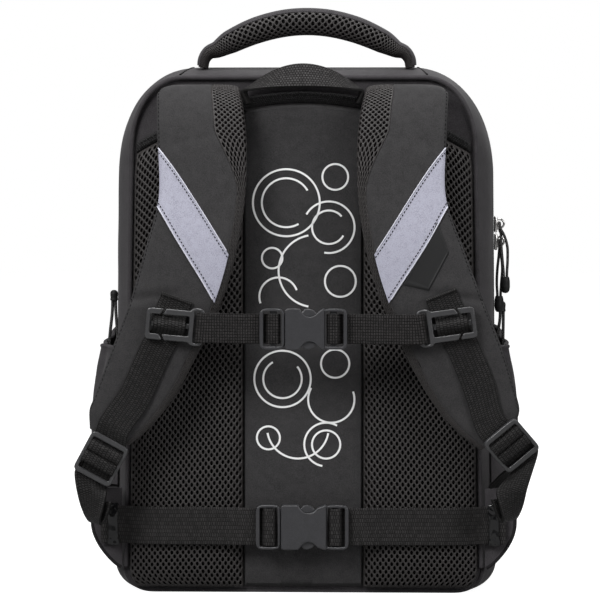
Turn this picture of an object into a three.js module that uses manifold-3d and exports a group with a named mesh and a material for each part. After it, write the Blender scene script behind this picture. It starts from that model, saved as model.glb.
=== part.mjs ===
// School backpack with padded back, shoulder straps, sternum strap and hip belt.
// Millimetres, +Z up, the wearer's side towards -Y; the bag stands on its base.

import * as THREE from "three";
import { mergeVertices } from "three/addons/utils/BufferGeometryUtils.js";
import Module from "manifold-3d";

const wasm = await Module();
wasm.setup();

// Driving dimensions
const GAP = 0.3; // clearance between pieces that touch
const WALL = 4; // lined and padded bag cloth
const FRONT_WALL = 2.5; // front panel at its seams, thicker towards its padded middle
const CLOTH = 1.6; // single cloth of pockets and facings
const WEB = 1.5; // webbing thickness

const FOOT = { low: 6, run: 24, rise: 26, power: 2.2 }; // rounded lower edge of the bag
const SHOULDER_POWER = 2.15; // squareness of the top corners
const DEPTH = { zipBack: 53, zipFront: 67, frontSeam: 160, crown: 10.5 };

// Outline of the bag at several depths behind the back panel
const SECTIONS = [
  { y: 0, base: 141, shoulder: 136.5, top: 410.5, run: 44, rise: 62 },
  { y: 22, base: 148, shoulder: 144.5, top: 415, run: 58, rise: 80 },
  { y: 60, base: 152, shoulder: 149, top: 417.5, run: 67, rise: 88 },
  { y: 120, base: 148.5, shoulder: 143, top: 411, run: 64, rise: 88 },
  { y: 160, base: 143, shoulder: 135, top: 402, run: 58, rise: 86 },
];

const PAD = { bottom: 11, edge: 4, side: 16, middle: 10, inner: 47, margin: 3.5 };
const BINDING = { centre: 388, drop: 35, reach: 122, end: 130, width: 9, thick: 2.2 };

// Edges of one shoulder strap from its sewn root over the crest to its lower end; the right one flares
const STRAP_ROWS = [
  { y: -3.2, outerX: 100, outerZ: 395, innerX: 49, innerZ: 395, flare: 0 },
  { y: -11, outerX: 107, outerZ: 396.5, innerX: 49, innerZ: 396.5, flare: 0 },
  { y: -20, outerX: 112, outerZ: 393.5, innerX: 48, innerZ: 393.5, flare: 0 },
  { y: -29, outerX: 112, outerZ: 382, innerX: 45.5, innerZ: 382, flare: 0 },
  { y: -36, outerX: 111, outerZ: 358, innerX: 43, innerZ: 358, flare: 0 },
  { y: -42, outerX: 110, outerZ: 314, innerX: 44, innerZ: 314, flare: 1 },
  { y: -46, outerX: 120, outerZ: 275, innerX: 50, innerZ: 275, flare: 4.5 },
  { y: -47, outerX: 131, outerZ: 237, innerX: 61, innerZ: 237, flare: 8 },
  { y: -46, outerX: 146, outerZ: 198, innerX: 79, innerZ: 198, flare: 8.5 },
  { y: -44, outerX: 159, outerZ: 163, innerX: 98, innerZ: 163, flare: 6 },
  { y: -43, outerX: 163, outerZ: 153, innerX: 117, innerZ: 139, flare: 4 },
];
const STRAP = { half: 6, edgeHalf: 3, stations: 23, faceEdge: 0.86 };
const MESH_BAND = { top: -0.33, fadeFrom: 0.33, fadeTo: 0.45 }; // lining seen along the inner edge
const REFLECTOR = { outerHigh: 0.376, outerLow: 0.468, innerHigh: 0.553, innerLow: 0.641, reach: 0.98 };
const SKIN = 0.8; // thickness of what is sewn on the strap face
const PATCH = { from: 0.5605, height: 0.058, slant: -0.103, left: -0.46, right: 0.67 };
const STRAP_WEB = { from: 0.633, half: 12.5, rise: 6.6, bump: 6, turn: 10 };

const SIDES = [
  {
    name: "left",
    sign: -1,
    end: { outerX: 163, outerZ: 138, innerX: 133, innerZ: 125 },
    lock: { x: 153.6, y: -52.9, z: 115, lean: 28.5, pitch: 4 },
    clip: { x: 94.4, z: 218, lean: 5 },
    flare: 0,
    webShift: -0.5,
    pocketBulge: 19.5,
    tail: { x: 161, z: 64 },
    draw: { x: 155.4, top: 239.5 },
  },
  {
    name: "right",
    sign: 1,
    end: { outerX: 165.5, outerZ: 146, innerX: 137.5, innerZ: 122 },
    lock: { x: 161.5, y: -55, z: 125, lean: 40, pitch: 22 },
    clip: { x: 109.4, z: 218, lean: 8 },
    flare: 1,
    webShift: 8,
    pocketBulge: 16,
    tail: { x: 161, z: 67 },
    draw: { x: 156.6, top: 231 },
  },
];

const LOCK = { width: 32, height: 34, thick: 3 };
const CLIP = { outer: 24, inner: 12, end: 20.5, half: 12, endHalf: 14.4, rim: 3, bar: 4.4, thick: 3.4, y: -59.2 };
const STERNUM = { z: 215.5, halfWidth: 11.4, y: -59.2, centreX: 2, length: 67, height: 31, thick: 9 };
const HIP = { z: 60, halfWidth: 14.6, y: -25, centreX: 0, length: 72, height: 34.5, thick: 10 };
const WING = { thick: 2.4, y: -2.4, inner: 141.8, outer: 165, low: 26, high: 88 };
const HANDLE = { y: 25 };
const POCKET = { back: 16, front: 122, low: 30, high: 197, ripples: 3.5, ripple: 1.6 };
const SLIDER = { y: 60, ring: 4.4, hole: 2.7, thick: 2 };
const CORD = { thin: 1.1, stout: 1.05 };

// Finishes
const fabric = { color: 0x3b3a3b, roughness: 0.85, metalness: 0 };
const netting = { color: 0x242223, roughness: 0.95, metalness: 0 };
const webbing = { color: 0x282626, roughness: 0.8, metalness: 0 };
const plastic = { color: 0x37383b, roughness: 0.45, metalness: 0 };
const rubber = { color: 0x2b2b2c, roughness: 0.7, metalness: 0 };
const nickel = { color: 0xc8c8c8, roughness: 0.3, metalness: 1 };
const silver = { color: 0xc9c8da, roughness: 0.4, metalness: 0.2 };

const pack = new THREE.Group();

function vec(x, y, z) {
  return new THREE.Vector3(x, y, z);
}

function addPiece(name, geometry, finish, parent = pack) {
  const mesh = new THREE.Mesh(geometry, new THREE.MeshStandardMaterial(finish));
  mesh.name = name;
  parent.add(mesh);
  return mesh;
}

// Smooth reading of one column of a table at a place between its rows
function lookup(rows, key, column, at) {
  const places = rows.map((row) => row[key]);
  const values = rows.map((row) => row[column]);
  const curve = new THREE.CubicInterpolant(places, values, 1, new Float64Array(1));
  return curve.evaluate(THREE.MathUtils.clamp(at, places[0], places.at(-1)))[0];
}

function smoothCurve(points) {
  return new THREE.CatmullRomCurve3(points, false, "centripetal");
}

function signedVolume(positions, index) {
  let sum = 0;
  for (let k = 0; k < index.length; k += 3) {
    const [a, b, c] = [positions[index[k]], positions[index[k + 1]], positions[index[k + 2]]];
    sum += a.dot(b.clone().cross(c));
  }
  return sum / 6;
}

// A closed sheet between two grids of points
function sheet(outer, inner) {
  const rows = outer.length;
  const columns = outer[0].length;
  const positions = [...outer.flat(), ...inner.flat()];
  const at = (i, j, layer) => (layer * rows + i) * columns + j;
  const index = [];
  const quad = (a, b, c, d) => index.push(a, b, c, a, c, d);
  for (let i = 0; i < rows - 1; i += 1) {
    for (let j = 0; j < columns - 1; j += 1) {
      quad(at(i, j, 0), at(i + 1, j, 0), at(i + 1, j + 1, 0), at(i, j + 1, 0));
      quad(at(i, j, 1), at(i, j + 1, 1), at(i + 1, j + 1, 1), at(i + 1, j, 1));
    }
    const last = columns - 1;
    quad(at(i, 0, 0), at(i, 0, 1), at(i + 1, 0, 1), at(i + 1, 0, 0));
    quad(at(i, last, 0), at(i + 1, last, 0), at(i + 1, last, 1), at(i, last, 1));
  }
  for (let j = 0; j < columns - 1; j += 1) {
    const last = rows - 1;
    quad(at(0, j, 0), at(0, j + 1, 0), at(0, j + 1, 1), at(0, j, 1));
    quad(at(last, j, 0), at(last, j, 1), at(last, j + 1, 1), at(last, j + 1, 0));
  }
  if (signedVolume(positions, index) < 0) index.reverse();
  const geometry = new THREE.BufferGeometry().setFromPoints(positions);
  geometry.setIndex(index);
  geometry.computeVertexNormals();
  return geometry;
}

function grid(rowPlaces, columnPlaces, point) {
  return rowPlaces.map((row) => columnPlaces.map((column) => point(row, column)));
}

function spread(from, to, steps) {
  return Array.from({ length: steps + 1 }, (_, k) => from + ((to - from) * k) / steps);
}

// Flat webbing along stations that hold a place and a half-width vector
function ribbon(stations, thickness = WEB) {
  const layer = (offset) =>
    stations.map((station, k) => {
      const before = stations[Math.max(k - 1, 0)].place;
      const after = stations[Math.min(k + 1, stations.length - 1)].place;
      const along = after.clone().sub(before);
      const normal = along.cross(station.half).normalize().multiplyScalar(offset);
      const middle = station.place.clone().add(normal);
      return [middle.clone().sub(station.half), middle.clone().add(station.half)];
    });
  return sheet(layer(thickness / 2), layer(-thickness / 2));
}

// Round cord along hand-chosen route points
function cord(points, radius, steps, sides = 8) {
  const section = new THREE.Shape();
  for (let k = 0; k < sides; k += 1) {
    const angle = (2 * Math.PI * k) / sides;
    const move = k === 0 ? "moveTo" : "lineTo";
    section[move](radius * Math.cos(angle), radius * Math.sin(angle));
  }
  section.closePath();
  return new THREE.ExtrudeGeometry(section, { steps, extrudePath: smoothCurve(points) });
}

function positionsOnly(geometry) {
  geometry.deleteAttribute("normal");
  geometry.deleteAttribute("uv");
  return mergeVertices(geometry, 1e-4);
}

function solidOf(geometry) {
  const merged = positionsOnly(geometry);
  const mesh = new wasm.Mesh({
    numProp: 3,
    vertProperties: new Float32Array(merged.attributes.position.array),
    triVerts: new Uint32Array(merged.index.array),
  });
  return new wasm.Manifold(mesh);
}

function geometryOf(solid) {
  const mesh = solid.getMesh();
  const geometry = new THREE.BufferGeometry();
  geometry.setAttribute("position", new THREE.BufferAttribute(new Float32Array(mesh.vertProperties), 3));
  geometry.setIndex(new THREE.BufferAttribute(new Uint32Array(mesh.triVerts), 1));
  geometry.computeVertexNormals();
  return geometry;
}

// Plate of a drawn outline, thick along local Z and centred on it
function plate(shape, thickness) {
  const settings = { depth: thickness, bevelEnabled: false, curveSegments: 3 };
  return new THREE.ExtrudeGeometry(shape, settings).translate(0, 0, -thickness / 2);
}

function roundedRect(x0, y0, x1, y1, radius, path = new THREE.Shape()) {
  path.moveTo(x0 + radius, y0);
  path.lineTo(x1 - radius, y0);
  path.quadraticCurveTo(x1, y0, x1, y0 + radius);
  path.lineTo(x1, y1 - radius);
  path.quadraticCurveTo(x1, y1, x1 - radius, y1);
  path.lineTo(x0 + radius, y1);
  path.quadraticCurveTo(x0, y1, x0, y1 - radius);
  path.lineTo(x0, y0 + radius);
  path.quadraticCurveTo(x0, y0, x0 + radius, y0);
  return path;
}

function rectangle(x0, y0, x1, y1) {
  const corners = [[x0, y0], [x1, y0], [x1, y1], [x0, y1]];
  return new THREE.Path(corners.map(([x, y]) => new THREE.Vector2(x, y)));
}

function box(x0, y0, z0, x1, y1, z1) {
  const geometry = new THREE.BoxGeometry(x1 - x0, y1 - y0, z1 - z0);
  return geometry.translate((x0 + x1) / 2, (y0 + y1) / 2, (z0 + z1) / 2);
}

// Bag: half outline at one depth, from the middle of the base up to the middle of the top
function halfOutline(y) {
  const at = (column) => lookup(SECTIONS, "y", column, y);
  const [base, shoulder, top, run, rise] = ["base", "shoulder", "top", "run", "rise"].map(at);
  const points = spread(0, base - FOOT.run, 2).map((x) => new THREE.Vector2(x, FOOT.low));
  for (const part of spread(0, 1, 4).slice(1)) {
    const turn = (part * Math.PI) / 2;
    const x = base - FOOT.run + FOOT.run * Math.sin(turn) ** (2 / FOOT.power);
    const z = FOOT.rise - (FOOT.rise - FOOT.low) * Math.max(Math.cos(turn), 0) ** (2 / FOOT.power);
    points.push(new THREE.Vector2(x, part === 1 ? FOOT.rise : z));
  }
  const sideFoot = points.length;
  for (const part of spread(0, 1, 5)) {
    const z = THREE.MathUtils.lerp(FOOT.rise + GAP, top - rise, part);
    points.push(new THREE.Vector2(THREE.MathUtils.lerp(base, shoulder, part), z));
  }
  for (const part of spread(0, 1, 7).slice(1)) {
    const turn = (part * Math.PI) / 2;
    const x = shoulder - run + run * Math.max(Math.cos(turn), 0) ** (2 / SHOULDER_POWER);
    const z = top - rise + rise * Math.sin(turn) ** (2 / SHOULDER_POWER);
    points.push(new THREE.Vector2(part === 1 ? shoulder - run : x, z));
  }
  const topEnd = points.length;
  points.push(new THREE.Vector2((shoulder - run) / 2, top), new THREE.Vector2(0, top));
  return { points, sideFoot, topEnd };
}

// The same outline moved inwards by a wall
function insetOutline(y, inset) {
  const { points, sideFoot, topEnd } = halfOutline(y);
  const moved = points.map((point, k) => {
    const before = points[Math.max(k - 1, 0)];
    const after = points[Math.min(k + 1, points.length - 1)];
    const atSeam = k === sideFoot - 1 || k === sideFoot;
    const along = atSeam ? new THREE.Vector2(0, 1) : after.clone().sub(before).normalize();
    return new THREE.Vector2(point.x - along.y * inset, point.y + along.x * inset);
  });
  moved[0].x = 0;
  moved.at(-1).x = 0;
  return { points: moved, sideFoot, topEnd };
}

// One run of the outline from the left side round to the right
function outlineRun(y, inset, pick) {
  const outline = insetOutline(y, inset);
  const half = pick(outline);
  const left = half.map((point) => vec(-point.x, y, point.y));
  const right = half.map((point) => vec(point.x, y, point.y)).reverse();
  return [...left, ...right.slice(1)];
}

const archOf = (outline) => outline.points.slice(outline.sideFoot);
const floorOf = (outline) => outline.points.slice(0, outline.sideFoot).reverse();

function wallStrip(depths, pick) {
  const layer = (inset) => {
    const runs = depths.map((y) => outlineRun(y, inset, pick));
    return runs[0].map((_, k) => runs.map((run) => run[k]));
  };
  return sheet(layer(0), layer(WALL));
}

// Panel filled between the two sides of an outline, crowned outwards
function filledPanel(y, inset, columns, outerY, innerY) {
  const outline = insetOutline(y, inset);
  const rows = outline.points.slice(2, outline.topEnd);
  const [low, high] = [rows[0].y, rows.at(-1).y];
  const layer = (depth) =>
    grid(rows, columns, (row, u) => vec(u * row.x, depth(u, (2 * (row.y - low)) / (high - low) - 1), row.y));
  return sheet(layer(outerY), layer(innerY));
}

function bodyHalfWidth(y, z) {
  const at = (column) => lookup(SECTIONS, "y", column, y);
  const rise = (z - FOOT.rise) / (at("top") - at("rise") - FOOT.rise);
  return THREE.MathUtils.lerp(at("base"), at("shoulder"), THREE.MathUtils.clamp(rise, 0, 1));
}

function buildBag() {
  const { zipBack, zipFront, frontSeam, crown } = DEPTH;
  addPiece("back_gusset", wallStrip([0, 10, 26, zipBack - GAP], archOf), fabric);
  addPiece("zip", wallStrip([zipBack, zipFront], archOf), webbing);
  addPiece("front_gusset", wallStrip([zipFront + GAP, 95, 130, frontSeam], archOf), fabric);
  addPiece("base", wallStrip([0, 10, 26, 60, 95, 130, frontSeam], floorOf), fabric);
  const flat = [-1, 0, 1];
  addPiece("back_panel", filledPanel(0, WALL + GAP, flat, () => 0, () => WALL), fabric);
  const bulge = (u, v) => crown * (1 - Math.abs(u) ** 3) * (1 - Math.abs(v) ** 3);
  const face = frontSeam + GAP;
  const columns = [-1, -0.8, 0, 0.8, 1];
  const outer = (u, v) => face + FRONT_WALL + bulge(u, v);
  const inner = (u, v) => face + 0.4 * bulge(u, v);
  addPiece("front_panel", filledPanel(frontSeam, 0, columns, outer, inner), fabric);
  const pipingRadius = 2.2;
  const line = outlineRun(0, pipingRadius, archOf);
  const route = line.map((point) => vec(point.x, -pipingRadius - GAP, point.z));
  addPiece("piping", cord(route, pipingRadius, 32, 6), fabric);
}

// Back padding under an arched binding tape
function bindingHeight(x) {
  return BINDING.centre - BINDING.drop * (x / BINDING.reach) ** 2;
}

function backHalfWidth(z) {
  const at = (column) => lookup(SECTIONS, "y", column, 0);
  const [base, shoulder, top, run, rise] = ["base", "shoulder", "top", "run", "rise"].map(at);
  if (z < FOOT.rise) {
    const fall = (FOOT.rise - z) / (FOOT.rise - FOOT.low);
    return base - FOOT.run + FOOT.run * (1 - fall ** FOOT.power) ** (1 / FOOT.power);
  }
  const climb = THREE.MathUtils.clamp((z - top + rise) / rise, 0, 1);
  const corner = shoulder - run + run * (1 - climb ** SHOULDER_POWER) ** (1 / SHOULDER_POWER);
  return climb > 0 ? corner : bodyHalfWidth(0, z);
}

function padFace(name, insideX, outsideX, thickness) {
  const across = [-1, -0.93, -0.6, 0, 0.6, 0.93, 1];
  const upwards = [0, 0.03, 0.12, 0.35, 0.6, 0.85, 0.97, 1];
  const place = (v, u) => {
    const guide = THREE.MathUtils.lerp(PAD.bottom, bindingHeight(90), v);
    const x = THREE.MathUtils.lerp(insideX(guide), outsideX(guide), (u + 1) / 2);
    return { x, z: THREE.MathUtils.lerp(PAD.bottom, bindingHeight(x), v) };
  };
  const swell = (v, u) => ((1 - u ** 4) * (1 - (2 * v - 1) ** 6)) ** 0.4;
  const outer = grid(upwards, across, (v, u) => {
    const { x, z } = place(v, u);
    return vec(x, -GAP - PAD.edge - (thickness - PAD.edge) * swell(v, u), z);
  });
  const inner = grid(upwards, across, (v, u) => {
    const { x, z } = place(v, u);
    return vec(x, -GAP, z);
  });
  addPiece(name, sheet(outer, inner), name === "center_pad" ? fabric : netting);
}

function buildBack() {
  const edge = (z) => backHalfWidth(z) - PAD.margin - 2;
  padFace("left_pad", (z) => -edge(z), () => -PAD.inner, PAD.side);
  padFace("center_pad", () => -PAD.inner + GAP, () => PAD.inner - GAP, PAD.middle);
  padFace("right_pad", () => PAD.inner, edge, PAD.side);
  const half = vec(0, 0, BINDING.width / 2);
  const stations = spread(-BINDING.end, BINDING.end, 14).map((x) => ({
    place: vec(x, -GAP - BINDING.thick / 2, bindingHeight(x) + GAP * 2 + BINDING.width / 2),
    half,
  }));
  addPiece("pad_binding", ribbon(stations, BINDING.thick), webbing);
}

// Shoulder strap: a point on it by its run (0 root, 1 lower end), its width (-1 inner, 1 outer) and lift
function strapEdges(side) {
  const flared = STRAP_ROWS.map((row) => ({ ...row, outerX: row.outerX + side.flare * row.flare }));
  const rows = [...flared, { ...side.end, y: -42.5 }];
  const edge = (x, z) => smoothCurve(rows.map((row) => vec(side.sign * row[x], row.y, row[z])));
  return { inner: edge("innerX", "innerZ"), outer: edge("outerX", "outerZ") };
}

function strapFrame(edges, side, run) {
  const inner = edges.inner.getPoint(run);
  const outer = edges.outer.getPoint(run);
  const across = outer.clone().sub(inner);
  const along = edges.inner.getTangent(run).add(edges.outer.getTangent(run));
  const normal = across.clone().cross(along).normalize().multiplyScalar(-side.sign);
  const half = across.clone().multiplyScalar(0.5);
  return { middle: inner.add(outer).multiplyScalar(0.5), half, normal, square: across.projectOnPlane(along) };
}

function strapPoint(frame, width, lift) {
  return frame.middle.clone().addScaledVector(frame.half, width).addScaledVector(frame.normal, lift);
}

function strapSkin(edges, side, runs, widths, place, low, high) {
  const layer = (lift) =>
    grid(runs, widths, (a, b) => {
      const spot = place(a, b);
      return strapPoint(strapFrame(edges, side, spot.run), spot.width, lift(spot.run));
    });
  return sheet(layer(high), layer(low));
}

function meshBandEdge(run) {
  const fade = THREE.MathUtils.smoothstep(run, MESH_BAND.fadeFrom, MESH_BAND.fadeTo);
  return THREE.MathUtils.lerp(MESH_BAND.top, -STRAP.faceEdge, fade);
}

function buildStrap(side) {
  const edges = strapEdges(side);
  const runs = spread(0, 1, STRAP.stations);
  const direct = (run, width) => ({ run, width });
  const widths = [-1, -STRAP.faceEdge, STRAP.faceEdge, 1];
  const padFoam = (lift) =>
    grid(runs, widths, (run, width) => {
      const thin = Math.abs(width) === 1;
      const height = thin ? Math.sign(lift) * STRAP.edgeHalf : lift;
      return strapPoint(strapFrame(edges, side, run), width, height);
    });
  const foamTop = STRAP.half - CLOTH;
  addPiece(`${side.name}_strap_pad`, sheet(padFoam(foamTop), padFoam(-STRAP.half)), netting);

  const faceLow = () => foamTop + GAP;
  const faceHigh = () => STRAP.half;
  const facePlace = (run, part) => direct(run, THREE.MathUtils.lerp(meshBandEdge(run), STRAP.faceEdge, part));
  const face = strapSkin(edges, side, runs, [0, 1], facePlace, faceLow, faceHigh);
  addPiece(`${side.name}_strap_face`, face, fabric);

  const skinLow = () => STRAP.half + GAP;
  const skinHigh = () => STRAP.half + GAP + SKIN;
  const bandPlace = (across, down) => {
    const outer = THREE.MathUtils.lerp(REFLECTOR.outerHigh, REFLECTOR.outerLow, down);
    const inner = THREE.MathUtils.lerp(REFLECTOR.innerHigh, REFLECTOR.innerLow, down);
    const width = THREE.MathUtils.lerp(REFLECTOR.reach, -REFLECTOR.reach, across);
    return direct(THREE.MathUtils.lerp(outer, inner, across), width * STRAP.faceEdge);
  };
  const band = strapSkin(edges, side, spread(0, 1, 8), [0, 0.5, 1], bandPlace, skinLow, skinHigh);
  addPiece(`${side.name}_reflector`, band, silver);

  if (side.sign > 0) {
    const patchPlace = (a, b) => {
      const width = THREE.MathUtils.lerp(PATCH.left * (1 - a), PATCH.right, b);
      return direct(PATCH.from + PATCH.height * a + PATCH.slant * width, width);
    };
    const patch = strapSkin(edges, side, [0, 0.5, 1], spread(0, 1, 4), patchPlace, skinLow, skinHigh);
    addPiece("rubber_patch", patch, rubber);
  }
  addPiece(`${side.name}_strap_web`, ribbon(strapWebStations(side, edges)), webbing);
}

// Local frame of a ladder lock: across, up the strap, and towards the viewer
function lockFrame(side) {
  const lean = THREE.MathUtils.degToRad(side.lock.lean);
  const pitch = THREE.MathUtils.degToRad(side.lock.pitch);
  const across = vec(Math.cos(lean), 0, side.sign * Math.sin(lean));
  const rise = vec(-side.sign * Math.sin(lean), 0, Math.cos(lean));
  const up = rise.clone().multiplyScalar(Math.cos(pitch)).add(vec(0, -Math.sin(pitch), 0));
  const out = rise.clone().multiplyScalar(-Math.sin(pitch)).add(vec(0, -Math.cos(pitch), 0));
  const top = vec(side.sign * side.lock.x, side.lock.y, side.lock.z).addScaledVector(rise, LOCK.height / 2);
  const centre = top.addScaledVector(up, -LOCK.height / 2);
  const at = (height, depth) => centre.clone().addScaledVector(up, height).addScaledVector(out, depth);
  return { across, up, out, centre, at };
}

// Webbing on the strap, raised inside the clip window, ending round the upper bar of the lock
const LOCK_LOOP = [
  { height: 13, depth: -3.2 },
  { height: 10.5, depth: -1.2 },
  { height: 9.7, depth: 1.4 },
  { height: 8.8, depth: 2.6 },
  { height: 6.3, depth: 2.9 },
  { height: 3.8, depth: 2.6 },
  { height: 2.9, depth: 1.4 },
  { height: 2.7, depth: -1.4 },
  { height: 4.6, depth: -3.2 },
  { height: 6.8, depth: -3.4 },
];

function strapWebStations(side, edges) {
  const lock = lockFrame(side);
  const clip = clipFrame(side);
  const onStrap = [STRAP_WEB.from, ...spread(0.65, 0.722, 13), ...spread(0.76, 0.955, 6)].map((run) => {
    const frame = strapFrame(edges, side, run);
    const blend = THREE.MathUtils.smoothstep(run, 0.78, 0.95);
    const lift = STRAP.half + 2 * GAP + WEB / 2 + blend * WEB;
    const outwards = frame.square.normalize();
    const place = strapPoint(frame, 0, lift).addScaledVector(outwards, side.webShift * (1 - blend));
    const fromClip = place.clone().sub(clip.window);
    const [aside, above] = [fromClip.dot(clip.outwards), fromClip.dot(clip.up)];
    const turned = Math.exp(-((above / STRAP_WEB.turn) ** 2));
    place.addScaledVector(clip.outwards, -aside * turned);
    place.addScaledVector(frame.normal, STRAP_WEB.rise * Math.exp(-((above / STRAP_WEB.bump) ** 2)));
    const half = outwards.lerp(clip.outwards, turned).lerp(lock.across.clone().multiplyScalar(side.sign), blend);
    return { place, half: half.normalize().multiplyScalar(STRAP_WEB.half) };
  });
  const half = lock.across.clone().multiplyScalar(side.sign * STRAP_WEB.half);
  const loop = LOCK_LOOP.map((row) => ({ place: lock.at(row.height, row.depth), half }));
  return [...onStrap, ...loop];
}

// Adjuster webbing from the wing over the lower bar of the lock, with its folded tail
const ADJUSTER_LOOP = [
  { height: -20, depth: -12 },
  { height: -12, depth: -6.8 },
  { height: -4, depth: -4.2 },
  { height: -0.4, depth: -2.2 },
  { height: -0.3, depth: 1.4 },
  { height: -1.2, depth: 2.6 },
  { height: -3.7, depth: 2.9 },
  { height: -6.2, depth: 2.6 },
  { height: -7.1, depth: 1.2 },
  { height: -8.4, depth: -1.4 },
  { height: -12, depth: -3.1 },
  { height: -19, depth: -3.3 },
];
const TAIL_FOLD = [
  { rise: 24, inwards: 0, y: -49, twist: 22 },
  { rise: 12, inwards: 0, y: -47.5, twist: 45 },
  { rise: 4, inwards: 0.6, y: -46, twist: 60 },
  { rise: 0.9, inwards: 2.2, y: -44.6, twist: 64 },
  { rise: 3.5, inwards: 4.2, y: -43.4, twist: 62 },
  { rise: 10, inwards: 5.4, y: -43.6, twist: 52 },
  { rise: 18, inwards: 6, y: -45, twist: 40 },
];

function adjusterStations(side) {
  const lock = lockFrame(side);
  const half = lock.across.clone().multiplyScalar(side.sign * STRAP_WEB.half);
  const level = vec(side.sign * STRAP_WEB.half, 0, 0);
  const loop = ADJUSTER_LOOP.map((row) => ({ place: lock.at(row.height, row.depth), half }));
  const first = loop[0].place;
  const wingTop = vec(side.sign * 157, WING.y - WING.thick / 2, WING.high + WEB);
  const anchor = spread(0, 1, 4).slice(0, -1).map((part) => {
    const place = wingTop.clone().lerp(first, part);
    place.y = THREE.MathUtils.lerp(wingTop.y, first.y, part ** 0.8);
    place.z += 6 * part * (1 - part);
    return { place, half: level.clone().lerp(half, part) };
  });
  const tail = TAIL_FOLD.map((row) => ({
    place: vec(side.sign * (side.tail.x - row.inwards), row.y, side.tail.z + row.rise),
    half: level.clone().applyAxisAngle(vec(0, 0, side.sign), THREE.MathUtils.degToRad(row.twist)),
  }));
  return [...anchor, ...loop, ...tail];
}

function buildLock(side) {
  const [halfW, halfH] = [LOCK.width / 2, LOCK.height / 2];
  const frame = roundedRect(-halfW, -halfH, halfW, halfH, 4);
  const slotHalf = STRAP_WEB.half + 0.6;
  const slots = [[8.3, 13], [-1.7, 4.3], [-13, -5.7]];
  const slotBox = ([low, high]) => box(-slotHalf, low, -LOCK.thick, slotHalf, high, LOCK.thick);
  const cut = (rest, slot) => rest.subtract(solidOf(slotBox(slot)));
  const solid = slots.reduce(cut, solidOf(plate(frame, LOCK.thick)));
  const { across, up, out, centre } = lockFrame(side);
  const mesh = addPiece(`${side.name}_ladder_lock`, geometryOf(solid), plastic);
  mesh.quaternion.setFromRotationMatrix(new THREE.Matrix4().makeBasis(across, up, out));
  mesh.position.copy(centre);
  addPiece(`${side.name}_adjuster_web`, ribbon(adjusterStations(side)), webbing);
}

// Clip that hooks on the strap webbing; its local +X points to the middle of the back
function clipFrame(side) {
  const lean = THREE.MathUtils.degToRad(side.clip.lean);
  const outwards = vec(side.sign * Math.cos(lean), 0, Math.sin(lean));
  const up = vec(-side.sign * Math.sin(lean), 0, Math.cos(lean));
  const centre = vec(side.sign * side.clip.x, CLIP.y, side.clip.z);
  const window = centre.clone().addScaledVector(outwards, (CLIP.outer - CLIP.inner) / 2);
  return { lean, outwards, up, centre, window };
}

function buildClip(side) {
  const { outer, inner, end, half, endHalf, rim, bar, thick } = CLIP;
  const hook = roundedRect(-outer, -half, inner, half, 3.5);
  hook.holes.push(rectangle(-outer + rim, -half + bar, inner - rim, half - bar));
  const post = roundedRect(inner - rim, -endHalf, end, endHalf, 4.5);
  const slot = box(inner + 0.6, -endHalf + 2, -thick, end - 3.3, endHalf - 2, thick);
  const slit = new THREE.Shape([
    new THREE.Vector2(-14, half - bar - 1),
    new THREE.Vector2(-12, half - bar - 1),
    new THREE.Vector2(-8.5, half + 1),
    new THREE.Vector2(-10.5, half + 1),
  ]);
  const cut = plate(slit, thick + 2);
  const crossbar = box(-outer + 1, -2.2, -thick / 2, inner - 1, 2.2, -thick / 2 + 0.8);
  const loop = solidOf(plate(post, thick)).subtract(solidOf(slot));
  const joined = solidOf(plate(hook, thick)).add(loop).add(solidOf(crossbar));
  const solid = joined.subtract(solidOf(cut)).subtract(solidOf(cut.clone().rotateX(Math.PI)));
  const { lean, centre } = clipFrame(side);
  const mesh = addPiece(`${side.name}_clip`, geometryOf(solid), plastic);
  mesh.rotation.order = "YXZ";
  mesh.rotation.set(Math.PI / 2, side.sign > 0 ? Math.PI : 0, side.sign * lean);
  mesh.position.copy(centre);
}

// Side-release buckle: a web frame at each end, prongs in a hollow body
const FRAME = { length: 19, rim: 3, back: -1.4, front: 3.5, barFrom: 8, barTo: 13, barBack: -2, barFront: 1 };

function webFrame(size, direction) {
  const end = size.length / 2;
  const reach = (near, far) => [direction * (end - near), direction * (end - far)].sort((a, b) => a - b);
  const halfH = size.height / 2;
  const [x0, x1] = reach(0, FRAME.length);
  const outline = roundedRect(x0, -halfH, x1, halfH, 5);
  const [w0, w1] = reach(FRAME.rim, FRAME.length - 2);
  outline.holes.push(rectangle(w0, -halfH + 2, w1, halfH - 2));
  const rim = plate(outline, FRAME.front - FRAME.back).translate(0, 0, (FRAME.front + FRAME.back) / 2);
  const [b0, b1] = reach(FRAME.barFrom, FRAME.barTo);
  const bar = box(b0, -halfH + 1, FRAME.barBack, b1, halfH - 1, FRAME.barFront);
  return solidOf(rim).add(solidOf(bar));
}

// Outline symmetric about the X axis from its upper half
function mirroredShape(upper) {
  const lower = [...upper].reverse().map((point) => new THREE.Vector2(point.x, -point.y));
  return new THREE.Shape([...upper, ...lower]);
}

function buckleSocket(size) {
  const halfH = size.height / 2;
  const mouth = -size.length / 2 + FRAME.length + 0.6;
  const end = size.length / 2 - FRAME.length + 1.4;
  const upper = [[mouth, 0.2], [mouth, halfH - 1], [mouth + 1.5, halfH], [-3, halfH], [-0.5, halfH - 3.6],
    [2, halfH - 5.6], [5, halfH - 6.2], [8.5, halfH - 5.2], [12, halfH - 1.8], [end - 1, halfH],
    [end, halfH], [end, 0.2]];
  const outline = mirroredShape(upper.map(([x, y]) => new THREE.Vector2(x, y)));
  const body = solidOf(plate(outline, size.thick)).add(webFrame(size, 1));
  const cavity = box(mouth - 1, -halfH + 2, -2.8, 11, halfH - 2, 2.8);
  return geometryOf(body.subtract(solidOf(cavity)));
}

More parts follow.
